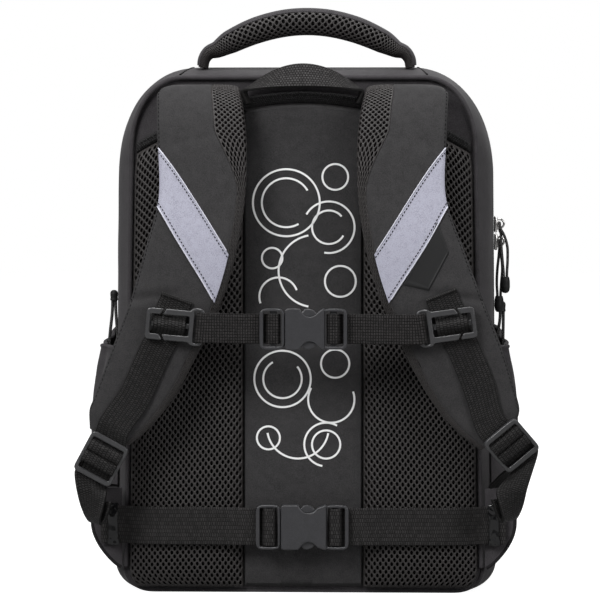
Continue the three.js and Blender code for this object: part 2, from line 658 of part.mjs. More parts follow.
function bucklePlug(size) {
  const halfH = size.height / 2;
  const root = -size.length / 2 + FRAME.length - 1.5;
  const upper = [[root, 0.2], [root, halfH - 2.8], [-1.2, halfH - 2.8], [0.8, halfH - 0.4], [4, halfH],
    [8, halfH - 1.4], [10.2, halfH - 4.2], [9, halfH - 6.4], [-2, halfH - 7], [-11, halfH - 7.4], [-11, 2.5],
    [5, 2.5], [6.5, 0.2]];
  const fork = mirroredShape(upper.map(([x, y]) => new THREE.Vector2(x, y)));
  return geometryOf(webFrame(size, -1).add(solidOf(plate(fork, 4.4))));
}

// Route of webbing into a buckle frame: behind the rim, over the bar and back
const BUCKLE_THREAD = [
  { inside: -4, depth: -2.6 },
  { inside: 4, depth: -2.6 },
  { inside: 6.5, depth: 1 },
  { inside: 7.6, depth: 2.3 },
  { inside: 10.5, depth: 2.5 },
  { inside: 13.4, depth: 2.3 },
  { inside: 14.6, depth: 0.4 },
  { inside: 15.4, depth: -2.4 },
];

function buckleThread(size, direction) {
  return BUCKLE_THREAD.map((row) =>
    vec(size.centreX + direction * (size.length / 2 - row.inside), size.y - row.depth, size.z));
}

function buildBuckle(prefix, size) {
  const place = (name, geometry) => {
    const mesh = addPiece(`${prefix}_${name}`, geometry, plastic);
    mesh.rotation.x = Math.PI / 2;
    mesh.position.set(size.centreX, size.y, size.z);
  };
  place("plug", bucklePlug(size));
  place("socket", buckleSocket(size));
}

// Sternum webbing: round the clip post, then into its half of the buckle
function buildSternumWeb(side) {
  const clip = clipFrame(side);
  const wrap = [[33, 3.4], [26, 3.4], [19.5, 3.4], [17.2, 3.35], [15.5, 2.3], [15, 0], [15.5, -2.3],
    [17.2, -3.35], [19.5, -3.4], [28, -3.1]];
  const level = vec(0, 0, STERNUM.halfWidth);
  const loop = wrap.map(([reach, back]) => {
    const onPost = Math.min(reach, CLIP.end);
    const place = clip.centre.clone().addScaledVector(clip.outwards, -onPost).add(vec(0, back, 0));
    place.x -= side.sign * (reach - onPost);
    const half = reach > CLIP.end ? level : clip.up.clone().multiplyScalar(STERNUM.halfWidth);
    return { place, half };
  });
  const middle = vec(side.sign * 44, STERNUM.y + 2.2, STERNUM.z);
  const straight = [middle, ...buckleThread(STERNUM, side.sign)].map((place) => ({ place, half: level }));
  const stations = [...loop, ...straight];
  addPiece(`${side.name}_sternum_web`, ribbon(stations), webbing);
}

// Hip belt from the wing over the pads to the buckle, with its keeper
const BELT_ROUTE = [
  { x: 158, y: -8.3 },
  { x: 146, y: -8.3 },
  { x: 139, y: -9.5 },
  { x: 131, y: -13 },
  { x: 122, y: -16.8 },
  { x: 108, y: -18.6 },
  { x: 88, y: -19 },
  { x: 62, y: -19.4 },
  { x: 48, y: -21.6 },
];
const KEEPER = { from: 144.5, to: 152.5, clear: 0.9, wall: 1.1 };

function buildBelt(side) {
  const half = vec(0, 0, HIP.halfWidth);
  const route = BELT_ROUTE.map((row) => vec(side.sign * row.x, row.y, HIP.z));
  const stations = [...route, ...buckleThread(HIP, side.sign)].map((place) => ({ place, half }));
  addPiece(`${side.name}_belt_web`, ribbon(stations), webbing);

  const [gapY, gapZ] = [WEB / 2 + KEEPER.clear, HIP.halfWidth + KEEPER.clear];
  const [halfY, halfZ] = [gapY + KEEPER.wall, gapZ + KEEPER.wall];
  const ring = roundedRect(-halfY, -halfZ, halfY, halfZ, 1);
  ring.holes.push(rectangle(-gapY, -gapZ, gapY, gapZ));
  const mesh = addPiece(`${side.name}_keeper`, plate(ring, KEEPER.to - KEEPER.from), plastic);
  mesh.rotation.order = "ZYX";
  mesh.rotation.set(Math.PI / 2, 0, Math.PI / 2);
  mesh.position.set((side.sign * (KEEPER.from + KEEPER.to)) / 2, -8.3, HIP.z);

  const fin = new THREE.Shape();
  fin.moveTo(side.sign * WING.inner, WING.low);
  fin.quadraticCurveTo(side.sign * (WING.outer - 4), WING.low + 8, side.sign * WING.outer, 62);
  fin.lineTo(side.sign * (WING.outer - 1), WING.high);
  fin.lineTo(side.sign * WING.inner, WING.high);
  const wing = addPiece(`${side.name}_wing`, plate(fin, WING.thick), fabric);
  wing.rotation.x = Math.PI / 2;
  wing.position.y = WING.y - WING.thick / 2;
}

// Carry handle: a padded arch on the top gusset with a smooth facing on its crest
const HANDLE_CENTRE = 1.75;
const HANDLE_ROWS = [
  { x: 81.6, z: 416.6, half: 3.3, depth: 10 },
  { x: 80.3, z: 423.4, half: 3.5, depth: 11 },
  { x: 76.5, z: 428.3, half: 4.2, depth: 12 },
  { x: 70, z: 430.8, half: 6, depth: 13 },
  { x: 60, z: 436.5, half: 9, depth: 13 },
  { x: 38, z: 446, half: 10.2, depth: 13 },
  { x: 13, z: 451.6, half: 10.5, depth: 13 },
];

function handleFrames() {
  const mirrored = HANDLE_ROWS.map((row) => ({ ...row, x: -row.x }));
  const rows = [...mirrored, ...[...HANDLE_ROWS].reverse()];
  const curve = smoothCurve(rows.map((row) => vec(HANDLE_CENTRE + row.x, HANDLE.y, row.z)));
  const sizes = smoothCurve(rows.map((row) => vec(row.half, row.depth, 0)));
  return spread(0, 1, 22).map((part) => {
    const along = curve.getTangent(part);
    const size = sizes.getPoint(part);
    return { centre: curve.getPoint(part), up: vec(-along.z, 0, along.x), half: size.x, depth: size.y };
  });
}

function handleSheet(frames, angles, topLift, bottomLift) {
  const layer = (lift, flip) =>
    grid(frames, angles, (frame, degrees) => {
      const angle = THREE.MathUtils.degToRad(degrees);
      const rise = flip * frame.half * Math.sin(angle) + lift;
      const point = frame.centre.clone().addScaledVector(frame.up, rise);
      return point.add(vec(0, frame.depth * Math.cos(angle), 0));
    });
  return { top: layer(topLift, 1), bottom: layer(bottomLift, bottomLift > 0 ? 1 : -1) };
}

function buildHandle() {
  const frames = handleFrames();
  const grip = handleSheet(frames, [20, 60, 90, 120, 160], 0, 0);
  addPiece("handle", sheet(grip.top, grip.bottom), netting);
  const facing = handleSheet(frames.slice(2, -2), [60, 90, 120], GAP + 1, GAP);
  addPiece("handle_facing", sheet(facing.top, facing.bottom), fabric);
}

// Hang loop: webbing that stands up in the middle and turns flat towards its sewn legs
function buildHangLoop() {
  const thickness = 2.4;
  const arch = spread(-1, 1, 14).map((part) => {
    const crown = 1 - part * part;
    const low = vec(46.5 * part, -22, 397.5 + 3 * crown);
    const high = vec(44 * part, -4.2 - 8 * crown, 398.5 + 20 * crown);
    return { low, high };
  });
  const leg = (sign) => ({ low: vec(sign * 43.5, -19, 387.5), high: vec(sign * 41.5, -4.2, 388) });
  const rows = [leg(-1), ...arch, leg(1)];
  const stations = rows.map(({ low, high }) => ({
    place: low.clone().add(high).multiplyScalar(0.5),
    half: high.clone().sub(low).multiplyScalar(0.5),
  }));
  addPiece("hang_loop", ribbon(stations, thickness), webbing);
}

// Side pocket: a gathered cloth wall bulging from the gusset, open at the top
const POCKET_SWELL = [
  { part: 0, swell: 0.03 },
  { part: 0.2, swell: 0.7 },
  { part: 0.55, swell: 1 },
  { part: 0.85, swell: 0.76 },
  { part: 1, swell: 0.5 },
];

// Inner face of a pocket at a share of the way forwards and up
function pocketFace(side, u, v) {
  const y = THREE.MathUtils.lerp(POCKET.back, POCKET.front, u);
  const z = THREE.MathUtils.lerp(POCKET.low, POCKET.high, v);
  const arc = Math.sin(Math.PI * u) ** 0.7;
  const fold = POCKET.ripple * Math.cos(2 * Math.PI * POCKET.ripples * u) * v * arc;
  const bulge = side.pocketBulge * lookup(POCKET_SWELL, "part", "swell", v) * arc + fold;
  return vec(bodyHalfWidth(y, z) + 2 * GAP + bulge, y, z);
}

function buildPocket(side) {
  const layer = (wall) =>
    grid(spread(0, 1, 6), spread(0, 1, 14), (v, u) => {
      const place = pocketFace(side, u, v);
      return vec(side.sign * (place.x + wall), place.y, place.z);
    });
  addPiece(`${side.name}_pocket`, sheet(layer(CLOTH), layer(0)), fabric);
}

// Main zip sliders with ring pulls, and their cord loops that end in rubber grips
const PULLS = [
  {
    name: "upper",
    ringZ: 293.5,
    grip: { x: 158.5, y: 50, z: 245.5 },
    route: [
      [157.25, 50, 248.5], [157.2, 50, 254], [156.4, 50.3, 263], [155.6, 51.5, 272], [155.2, 54.2, 279.8],
      [155.2, 57.4, 284.8], [154.9, 60, 286.4], [154.4, 62.4, 287.6], [154.2, 63.4, 290.4],
      [154.2, 62.4, 293.2], [154.2, 60, 294.3], [154.2, 57.6, 293.2], [154.6, 56.4, 290],
      [157.5, 54.4, 284.5], [160, 52, 276], [160.3, 50.4, 265], [159.8, 50, 255], [159.75, 50, 248.5],
    ],
  },
  {
    name: "lower",
    ringZ: 279.5,
    grip: { x: 154, y: 67, z: 229.5 },
    route: [
      [152.75, 67, 232.5], [152.6, 67, 238], [152.2, 66.6, 246], [152.6, 66, 257], [153.6, 64.6, 267],
      [154.2, 63.4, 275.5], [154.2, 62.4, 279], [154.2, 60, 280.3], [154.2, 57.6, 279], [154.2, 56.8, 275.5],
      [155.4, 58, 268], [156.4, 61, 258], [155.8, 65, 247], [155.3, 66.8, 238], [155.25, 67, 232.5],
    ],
  },
];

function buildPull(pull) {
  const surface = bodyHalfWidth(SLIDER.y, pull.ringZ) + GAP;
  const body = box(surface, SLIDER.y - 4, pull.ringZ - 7, surface + 2.6, SLIDER.y + 4, pull.ringZ + 6);
  const ringShape = new THREE.Shape().absarc(0, 0, SLIDER.ring, 0, 2 * Math.PI);
  ringShape.holes.push(new THREE.Path().absarc(0, 0, SLIDER.hole, 0, 2 * Math.PI, true));
  const settings = { depth: SLIDER.thick, bevelEnabled: false, curveSegments: 6 };
  const ring = new THREE.ExtrudeGeometry(ringShape, settings);
  ring.rotateX(Math.PI / 2).translate(surface + SLIDER.ring, SLIDER.y + SLIDER.thick / 2, pull.ringZ);
  addPiece(`${pull.name}_slider`, geometryOf(solidOf(body).add(solidOf(ring))), nickel);

  const route = pull.route.map((point) => vec(...point));
  addPiece(`${pull.name}_pull_cord`, cord(route, CORD.thin, 24), webbing);
  const profile = [[0, -7], [2, -6.7], [3.3, -5], [3.8, -2], [3.7, 3], [3.4, 6], [2.7, 6], [2.7, 2], [0, 2]];
  const grip = new THREE.LatheGeometry(profile.map(([r, z]) => new THREE.Vector2(r, z)), 8);
  grip.rotateX(Math.PI / 2);
  const mesh = addPiece(`${pull.name}_pull_grip`, grip, rubber);
  mesh.position.set(pull.grip.x, pull.grip.y, pull.grip.z);
}

// Draw cord of a side pocket: a narrow loop that stands up from the hem, its bend in a rubber end
const DRAW = { y: 80, low: 195, inner: 152.4, half: 1.25, sleeve: 8.5, bore: 2.6, wall: 0.6 };

function drawRoute(side) {
  const { x, top } = side.draw;
  const crest = top - DRAW.wall - GAP - CORD.stout;
  const forwards = (DRAW.y - POCKET.back) / (POCKET.front - POCKET.back);
  const hem = pocketFace(side, forwards, 1).x - 0.4 - CORD.stout;
  const strand = (foot, bend) =>
    spread(0, 1, 6).map((part) => {
      const lean = THREE.MathUtils.smoothstep(part, 0, 0.8);
      return [THREE.MathUtils.lerp(foot, bend, lean), THREE.MathUtils.lerp(DRAW.low, crest - DRAW.half, part)];
    });
  const slant = DRAW.half * Math.SQRT1_2;
  const bend = [[x - slant, crest - DRAW.half + slant], [x, crest], [x + slant, crest - DRAW.half + slant]];
  const up = strand(DRAW.inner, x - DRAW.half);
  const down = strand(hem, x + DRAW.half).reverse();
  return [...up, ...bend, ...down].map(([across, z]) => vec(side.sign * across, DRAW.y, z));
}

function buildDrawCord(side) {
  addPiece(`${side.name}_pocket_cord`, cord(drawRoute(side), CORD.stout, 26), webbing);
  const { sleeve, bore, wall } = DRAW;
  const shell = bore + wall;
  const profile = [[0, -wall], [bore, -wall], [bore, -sleeve], [shell, -sleeve], [shell, -3], [shell * 0.92, -1.4],
    [shell * 0.6, -0.3], [0, 0]];
  const rubberEnd = new THREE.LatheGeometry(profile.map(([r, z]) => new THREE.Vector2(r, z)), 8);
  const mesh = addPiece(`${side.name}_cord_sleeve`, rubberEnd.rotateX(Math.PI / 2), rubber);
  mesh.position.set(side.sign * side.draw.x, DRAW.y, side.draw.top);
}

buildBag();
buildBack();
buildHandle();
buildHangLoop();
buildBuckle("sternum", STERNUM);
buildBuckle("hip", HIP);
for (const side of SIDES) {
  buildStrap(side);
  buildLock(side);
  buildClip(side);
  buildSternumWeb(side);
  buildBelt(side);
  buildPocket(side);
  buildDrawCord(side);
}
PULLS.forEach(buildPull);

// The origin is the bottom centre of the whole backpack
const bounds = new THREE.Box3().setFromObject(pack, true);
const middle = bounds.getCenter(new THREE.Vector3());
pack.position.set(-middle.x, -middle.y, -bounds.min.z);
pack.updateMatrixWorld(true);

export default pack;
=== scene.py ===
import logging
import math
from dataclasses import dataclass
from enum import Enum
from typing import Callable, Sequence

import bpy
import numpy as np
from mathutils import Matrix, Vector


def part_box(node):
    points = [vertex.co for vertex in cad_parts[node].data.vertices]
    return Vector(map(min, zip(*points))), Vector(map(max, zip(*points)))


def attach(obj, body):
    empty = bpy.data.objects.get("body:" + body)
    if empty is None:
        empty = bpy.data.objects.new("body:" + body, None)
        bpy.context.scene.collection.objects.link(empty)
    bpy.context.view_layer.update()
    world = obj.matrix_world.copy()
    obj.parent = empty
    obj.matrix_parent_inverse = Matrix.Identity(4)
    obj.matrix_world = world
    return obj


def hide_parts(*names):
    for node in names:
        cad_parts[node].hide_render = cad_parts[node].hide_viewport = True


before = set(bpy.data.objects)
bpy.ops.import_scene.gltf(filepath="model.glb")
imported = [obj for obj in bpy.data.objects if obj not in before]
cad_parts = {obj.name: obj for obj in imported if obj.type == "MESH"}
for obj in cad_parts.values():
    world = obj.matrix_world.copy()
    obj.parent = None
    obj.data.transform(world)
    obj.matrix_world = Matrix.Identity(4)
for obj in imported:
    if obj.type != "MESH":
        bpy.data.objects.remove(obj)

LOG = logging.getLogger("backpack")

# Lengths below are millimetres in the bag's own frame: the back panel's outer face is y = 0,
# the wearer is towards -y, and the floor is z = FLOOR.
MM = 0.001
FLOOR = 6.0
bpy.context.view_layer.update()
FRONT_LOW, FRONT_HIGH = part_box("front_panel")
BAG_ORIGIN = np.array([(FRONT_LOW.x + FRONT_HIGH.x) / 2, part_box("back_panel")[0].y, -FLOOR * MM])

Values = np.ndarray
Points = np.ndarray
Piece = bpy.types.Object
Surface = Callable[[Values, Values], Points]
Relief = Callable[[Values, Values], Values]


def to_row(points: Points) -> Points:
    """Turns bag millimetres into row metres."""
    return np.asarray(points, float) * MM + BAG_ORIGIN


def hermite(places: Sequence[float], values: Sequence[float], at: Values) -> Values:
    """Reads a smooth curve through a short table.

    Args:
        places: Rising places of the table's rows.
        values: Values at those places.
        at: Places to read, clipped to the table.

    Returns:
        The value at each place.
    """
    x = np.asarray(places, float)
    y = np.asarray(values, float)
    secant = np.diff(y) / np.diff(x)
    slope = np.concatenate([secant[:1], (secant[1:] + secant[:-1]) / 2, secant[-1:]])
    spot = np.clip(at, x[0], x[-1])
    k = np.clip(np.searchsorted(x, spot, side="right") - 1, 0, len(x) - 2)
    width = x[k + 1] - x[k]
    t = (spot - x[k]) / width
    rise = (3 - 2 * t) * t * t
    bend = slope[k] * (t - 1) ** 2 * t + slope[k + 1] * (t - 1) * t * t
    return y[k] + (y[k + 1] - y[k]) * rise + bend * width


def smooth_curve(points: Points, at: Values) -> Points:
    """Reads a centripetal curve through given points.

    Args:
        points: Points that the curve goes through, one row each.
        at: Shares of the way along, 0 to 1.

    Returns:
        A point for each share.
    """
    rows = np.asarray(points, float)
    padded = np.vstack([2 * rows[0] - rows[1], rows, 2 * rows[-1] - rows[-2]])
    spot = np.clip(np.asarray(at, float), 0, 1) * (len(rows) - 1)
    k = np.clip(np.floor(spot).astype(int), 0, len(rows) - 2)
    w = (spot - k)[..., None]
    x0, x1, x2, x3 = (padded[k + step] for step in range(4))
    gaps = [np.sqrt(np.linalg.norm(b - a, axis=-1, keepdims=True)) for a, b in ((x0, x1), (x1, x2), (x2, x3))]
    d0, d1, d2 = (np.maximum(gap, 1e-3) for gap in gaps)
    t1 = ((x1 - x0) / d0 - (x2 - x0) / (d0 + d1) + (x2 - x1) / d1) * d1
    t2 = ((x2 - x1) / d1 - (x3 - x1) / (d1 + d2) + (x3 - x2) / d2) * d1
    return x1 + t1 * w + (3 * (x2 - x1) - 2 * t1 - t2) * w**2 + (2 * (x1 - x2) + t1 + t2) * w**3


def unit(vectors: Points) -> Points:
    """Scales each vector to length one."""
    return vectors / np.maximum(np.linalg.norm(vectors, axis=-1, keepdims=True), 1e-9)


def ease(at: Values, low: float, high: float) -> Values:
    """Rises smoothly from 0 at low to 1 at high."""
    share = np.clip((at - low) / (high - low), 0, 1)
    return share * share * (3 - 2 * share)


def lerp(a: Values, b: Values, share: Values) -> Values:
    """Goes straight from a to b."""
    return a + (b - a) * share


def run_along(line: Points) -> Values:
    """Gives the distance run at each point of a line."""
    return np.concatenate([[0], np.cumsum(np.linalg.norm(np.diff(line, axis=0), axis=1))])


def read_rows(at: Values, places: Values, rows: Points) -> Points:
    """Reads a table of rows at places in between its own."""
    return np.stack([np.interp(at, places, column) for column in rows.T], axis=-1)


def signed_power(value: Values, power: float) -> Values:
    """Raises the size of a value to a power and keeps its sign."""
    return np.sign(value) * np.abs(value) ** power


def soft_noise(points: Points, size: float, seed: float) -> Values:
    """Gives a smooth wandering value over space, for slack cloth.

    Args:
        points: Places in millimetres.
        size: Length of one swell in millimetres.
        seed: Number that picks another pattern.

    Returns:
        A value from about -1 to 1 at each place.
    """
    turns = points * (2 * math.pi / size)
    x, y, z = turns[..., 0], turns[..., 1], turns[..., 2]
    first = np.sin(0.93 * x + 0.31 * z + seed) * np.sin(0.71 * z - 0.42 * y + 1.7 * seed)
    second = np.sin(0.47 * x - 0.88 * z + 2.3 * seed) * np.sin(0.64 * y + 0.37 * x + 0.9 * seed)
    return 0.6 * first + 0.4 * second


# Workshop: the steps by which pieces are modelled

WELD = 0.02 * MM


def placed(name: str, data: bpy.types.ID) -> Piece:
    """Puts an object with this data into the scene."""
    made = bpy.data.objects.new(name, data)
    bpy.context.scene.collection.objects.link(made)
    return made


def make_active(piece: Piece) -> None:
    """Leaves this piece alone selected."""
    bpy.ops.object.select_all(action="DESELECT")
    piece.select_set(True)
    bpy.context.view_layer.objects.active = piece


def in_edit_mode(piece: Piece, *steps: Callable[[], object]) -> None:
    """Runs edit-mode steps on all of a piece.

    Args:
        piece: The mesh to work on.
        steps: Operator calls, in order.
    """
    make_active(piece)
    bpy.ops.object.mode_set(mode="EDIT")
    bpy.ops.mesh.select_all(action="SELECT")
    for step in steps:
        step()
    bpy.ops.object.mode_set(mode="OBJECT")


def finish_with(piece: Piece, kind: str, **settings: object) -> None:
    """Adds one modifier and applies it.

    Args:
        piece: The mesh to change.
        kind: Blender's name of the modifier type.
        settings: Values to set on it.
    """
    make_active(piece)
    bpy.ops.object.modifier_add(type=kind)
    modifier = piece.modifiers[-1]
    for name, value in settings.items():
        setattr(modifier, name, value)
    bpy.ops.object.modifier_apply(modifier=modifier.name)


def thicken(piece: Piece, thickness: float, offset: float = 0.0) -> None:
    """Gives a sheet its thickness in millimetres; offset -1 keeps the face, 0 the middle."""
    finish_with(piece, "SOLIDIFY", thickness=thickness * MM, offset=offset, use_rim=True)


def round_edges(piece: Piece, width: float, segments: int = 2, angle: float = 35.0) -> None:
    """Rounds every edge sharper than the angle.

    Args:
        piece: The mesh to change.
        width: Width of the rounding in millimetres.
        segments: Faces across it.
        angle: Sharpness in degrees that counts as an edge.
    """
    finish_with(piece, "BEVEL", width=width * MM, segments=segments, limit_method="ANGLE",
                angle_limit=math.radians(angle), use_clamp_overlap=True, harden_normals=False)


def shade(piece: Piece, angle: float = 50.0) -> None:
    """Shades smooth up to an angle in degrees."""
    make_active(piece)
    bpy.ops.object.shade_smooth_by_angle(angle=math.radians(angle))


def shares_of(piece: Piece) -> tuple[Values, Values]:
    """Reads where each vertex of a fresh flat grid lies, as shares 0 to 1."""
    flat = np.zeros(len(piece.data.vertices) * 3)
    piece.data.vertices.foreach_get("co", flat)
    places = flat.reshape(-1, 3)
    return (places[:, 0] + 1) / 2, (places[:, 1] + 1) / 2


def lay_on(piece: Piece, surface: Surface, relief: Relief | None = None) -> None:
    """Moves a fresh flat grid on to a surface and gives it a map in metres.

    Args:
        piece: A grid that spans -1 to 1 both ways.
        surface: Place in bag millimetres for two shares.
        relief: Height in millimetres along the surface's normal, if any.
    """
    u, v = shares_of(piece)
    places = surface(u, v)
    if relief is not None:
        step = 1e-3
        along = surface(np.minimum(u + step, 1), v) - surface(np.maximum(u - step, 0), v)
        across = surface(u, np.minimum(v + step, 1)) - surface(u, np.maximum(v - step, 0))
        places = places + unit(np.cross(along, across)) * relief(u, v)[:, None]
    line = np.linspace(0, 1, 200)
    middle = np.full(200, 0.5)
    long = run_along(surface(line, middle))[-1]
    wide = run_along(surface(middle, line))[-1]
    corners = np.zeros(len(piece.data.loops), int)
    piece.data.loops.foreach_get("vertex_index", corners)
    chart = np.stack([u[corners] * long, v[corners] * wide], axis=1) * MM
    piece.data.uv_layers.active.data.foreach_set("uv", chart.ravel())
    piece.data.vertices.foreach_set("co", to_row(places).ravel())
    piece.data.update()


def flat_grid(name: str, columns: int, rows: int) -> Piece:
    """Adds a flat grid to be shaped.

    Args:
        name: Name of the piece.
        columns: Faces along the first share.
        rows: Faces along the second share.

    Returns:
        The new grid, spanning -1 to 1 both ways.
    """
    bpy.ops.object.select_all(action="DESELECT")
    bpy.ops.mesh.primitive_grid_add(x_subdivisions=columns, y_subdivisions=rows, size=2.0, calc_uvs=True)
    piece = bpy.context.active_object
    piece.name = name
    piece.data.name = name
    return piece


def face_away(piece: Piece, middle: Points) -> None:
    """Turns a sheet's faces away from a place inside the bag.

    Args:
        piece: The sheet.
        middle: Place in bag millimetres that the faces turn their backs to.
    """
    count = len(piece.data.polygons)
    normals = np.zeros(count * 3)
    centres = np.zeros(count * 3)
    piece.data.polygons.foreach_get("normal", normals)
    piece.data.polygons.foreach_get("center", centres)
    outward = centres.reshape(-1, 3) - to_row(middle)
    if np.einsum("ij,ij->", normals.reshape(-1, 3), outward) < 0:
        in_edit_mode(piece, bpy.ops.mesh.flip_normals)


def cloth_panel(name: str, surface: Surface, columns: int, rows: int, thickness: float, middle: Points,
                relief: Relief | None = None) -> Piece:
    """Makes a panel of cloth with its outer face on a surface.

    Args:
        name: Name of the piece.
        surface: The outer face.
        columns: Faces along the first share.
        rows: Faces along the second share.
        thickness: Cloth thickness in millimetres, laid inwards.
        middle: Place that the outer face turns its back to.
        relief: Swells and folds of the face.

    Returns:
        The closed panel.
    """
    piece = flat_grid(name, columns, rows)
    lay_on(piece, surface, relief)
    face_away(piece, middle)
    thicken(piece, thickness, offset=-1.0)
    shade(piece)
    return piece


def tube(name: str, route: Points, radius: float | Values, steps: int, sides: int = 12) -> Piece:
    """Makes a round closed tube along a route.

    Args:
        name: Name of the piece.
        route: Given points of its middle line.
        radius: Radius in millimetres, or one for each of steps + 1 places.
        steps: Faces along it.
        sides: Faces round it.

    Returns:
        The closed tube.
    """
    at = np.linspace(0, 1, steps + 1)
    line = smooth_curve(route, at)
    along = unit(np.gradient(line, axis=0))
    side = np.zeros_like(line)
    start = np.array([0.0, 1.0, 0.0]) if abs(along[0][1]) < 0.9 else np.array([1.0, 0.0, 0.0])
    side[0] = unit(start - along[0] * start.dot(along[0]))
    for k in range(1, len(line)):
        side[k] = unit(side[k - 1] - along[k] * side[k - 1].dot(along[k]))
    third = np.cross(along, side)
    size = np.broadcast_to(np.asarray(radius, float), at.shape)

    def surface(u: Values, v: Values) -> Points:
        """Gives the tube's skin."""
        turn = (v * 2 * math.pi)[:, None]
        centre, right, up = (read_rows(u, at, table) for table in (line, side, third))
        spread = np.interp(u, at, size)[:, None]
        return centre + spread * (np.cos(turn) * right + np.sin(turn) * up)

    piece = flat_grid(name, steps, sides)
    lay_on(piece, surface)
    close_up(piece)
    return piece


def close_up(piece: Piece) -> None:
    """Welds the seam of a rolled grid, caps its ends and turns its faces out."""
    in_edit_mode(
        piece,
        lambda: bpy.ops.mesh.remove_doubles(threshold=WELD),
        lambda: bpy.ops.mesh.fill_holes(sides=0),
        lambda: bpy.ops.mesh.normals_make_consistent(inside=False),
    )
    shade(piece, 60.0)


def open_net(name: str, surface: Surface, columns: int, rows: int, middle: Points,
             thickness: float = 1.1) -> Piece:
    """Makes a knitted net on a surface: staggered oval holes between diagonal strands.

    Args:
        name: Name of the piece.
        surface: Where the net lies; its holes are tall along the second share.
        columns: Holes along the first share.
        rows: Holes along the second share.
        middle: Place that the net's outer side turns its back to.
        thickness: Thickness of the strands.

    Returns:
        The net, one closed mesh.
    """
    # On the flat chart a hole takes 4 steps each way, and every second row is shifted by 2
    ring = np.array([(2, 0), (1, 1), (0, 2), (-1, 1), (-2, 0), (-1, -1), (0, -2), (1, -1)])
    turn = np.arange(8) * math.pi / 4
    oval = np.stack([1.06 * np.cos(turn), 1.2 * np.sin(turn)], axis=1)
    limit = np.array([4 * columns, 4 * rows])
    across = 4 * np.arange(columns + 1)
    down = 4 * np.arange(rows + 1)
    straight = np.stack(np.meshgrid(across, down), axis=-1).reshape(-1, 2)
    staggered = np.stack(np.meshgrid(across[:-1] + 2, down[:-1] + 2), axis=-1).reshape(-1, 2)
    at_rim = ((straight == 0) | (straight == limit)).any(axis=1)
    centres = np.vstack([straight[~at_rim], staggered])
    inner = (centres[:, None, :] + oval).reshape(-1, 2)
    rim_cells = [cell + ring for cell in straight[at_rim]]
    rim_cells = [cell[((cell >= 0) & (cell <= limit)).all(axis=1)] for cell in rim_cells]
    rim_cells = [np.vstack([cell, spot[None]]) if len(cell) == 3 else cell
                 for cell, spot in zip(rim_cells, straight[at_rim])]
    outer = np.vstack([(centres[:, None, :] + ring).reshape(-1, 2), *rim_cells])
    knots, index = np.unique(outer, axis=0, return_inverse=True)
    index = index.ravel()
    around = index[:len(centres) * 8].reshape(-1, 8)
    inside = len(knots) + np.arange(len(centres) * 8).reshape(-1, 8)
    quads = np.stack([around, np.roll(around, -1, 1), np.roll(inside, -1, 1), inside], axis=-1).reshape(-1, 4)
    faces = quads.tolist()
    start = len(centres) * 8
    for cell in rim_cells:
        spokes = cell - cell.mean(axis=0)
        order = np.argsort(np.arctan2(spokes[:, 1], spokes[:, 0]))
        faces.append(index[start:start + len(cell)][order].tolist())
        start += len(cell)
    flat = np.vstack([knots, inner]) / limit * 2 - 1
    mesh = bpy.data.meshes.new(name)
    mesh.from_pydata([(x, y, 0.0) for x, y in flat], [], faces)
    mesh.uv_layers.new(name="UVMap")
    piece = placed(name, mesh)
    lay_on(piece, surface)
    face_away(piece, middle)
    thicken(piece, thickness)
    shade(piece, 170.0)
    return piece


def joined(name: str, parts: Sequence[Piece]) -> Piece:
    """Joins several meshes into one piece.

    Args:
        name: Name of the piece.
        parts: Meshes to join.

    Returns:
        The one piece.
    """
    make_active(parts[0])
    for part in parts:
        part.select_set(True)
    if len(parts) > 1:
        bpy.ops.object.join()
    parts[0].name = name
    parts[0].data.name = name
    return parts[0]


@dataclass(frozen=True)
class Stitch:
    """Sizes of a sewn row in millimetres; radius is half the thread's thickness."""

    pitch: float
    length: float
    radius: float


BINDING_STITCH = Stitch(3.0, 2.2, 0.35)
STRAP_STITCH = Stitch(3.4, 2.4, 0.4)
REFLECTOR_STITCH = Stitch(2.9, 2.1, 0.5)


def stitch_row(name: str, line: Points, lift: Points, stitch: Stitch) -> Piece:
    """Sews a row of stitches along a line: one thread bead modelled, then copied.

    Args:
        name: Name of the piece.
        line: Close points of the sewn line.
        lift: Outward direction at each of them.
        stitch: Sizes of the stitches.

    Returns:
        All stitches as one piece.
    """
    bpy.ops.object.select_all(action="DESELECT")
    bpy.ops.mesh.primitive_ico_sphere_add(subdivisions=1, radius=1.0)
    bead = bpy.context.active_object
    shape = np.array([vertex.co for vertex in bead.data.vertices])
    faces = np.array([tuple(face.vertices) for face in bead.data.polygons])
    bpy.data.objects.remove(bead)
    run = run_along(line)
    spots = np.arange(stitch.pitch / 2, run[-1], stitch.pitch)
    along = unit(read_rows(spots + 0.1, run, line) - read_rows(spots - 0.1, run, line))
    out = unit(read_rows(spots, run, lift))
    side = unit(np.cross(along, out))
    copies = (read_rows(spots, run, line)[:, None, :]
              + shape[None, :, 0:1] * along[:, None, :] * stitch.length / 2
              + shape[None, :, 1:2] * side[:, None, :] * stitch.radius
              + shape[None, :, 2:3] * out[:, None, :] * stitch.radius)
    shifts = np.arange(len(spots))[:, None, None] * len(shape)
    mesh = bpy.data.meshes.new(name)
    corners = to_row(copies.reshape(-1, 3)).tolist()
    mesh.from_pydata(corners, [], (faces[None] + shifts).reshape(-1, 3).tolist())
    piece = placed(name, mesh)
    in_edit_mode(piece, lambda: bpy.ops.mesh.normals_make_consistent(inside=False))
    shade(piece, 80.0)
    return piece


# Finishes


class Pattern(Enum):
    """How a finish is textured."""

    GRAIN = "grain"
    WEAVE = "weave"
    BRAID = "braid"
    BEADS = "beads"


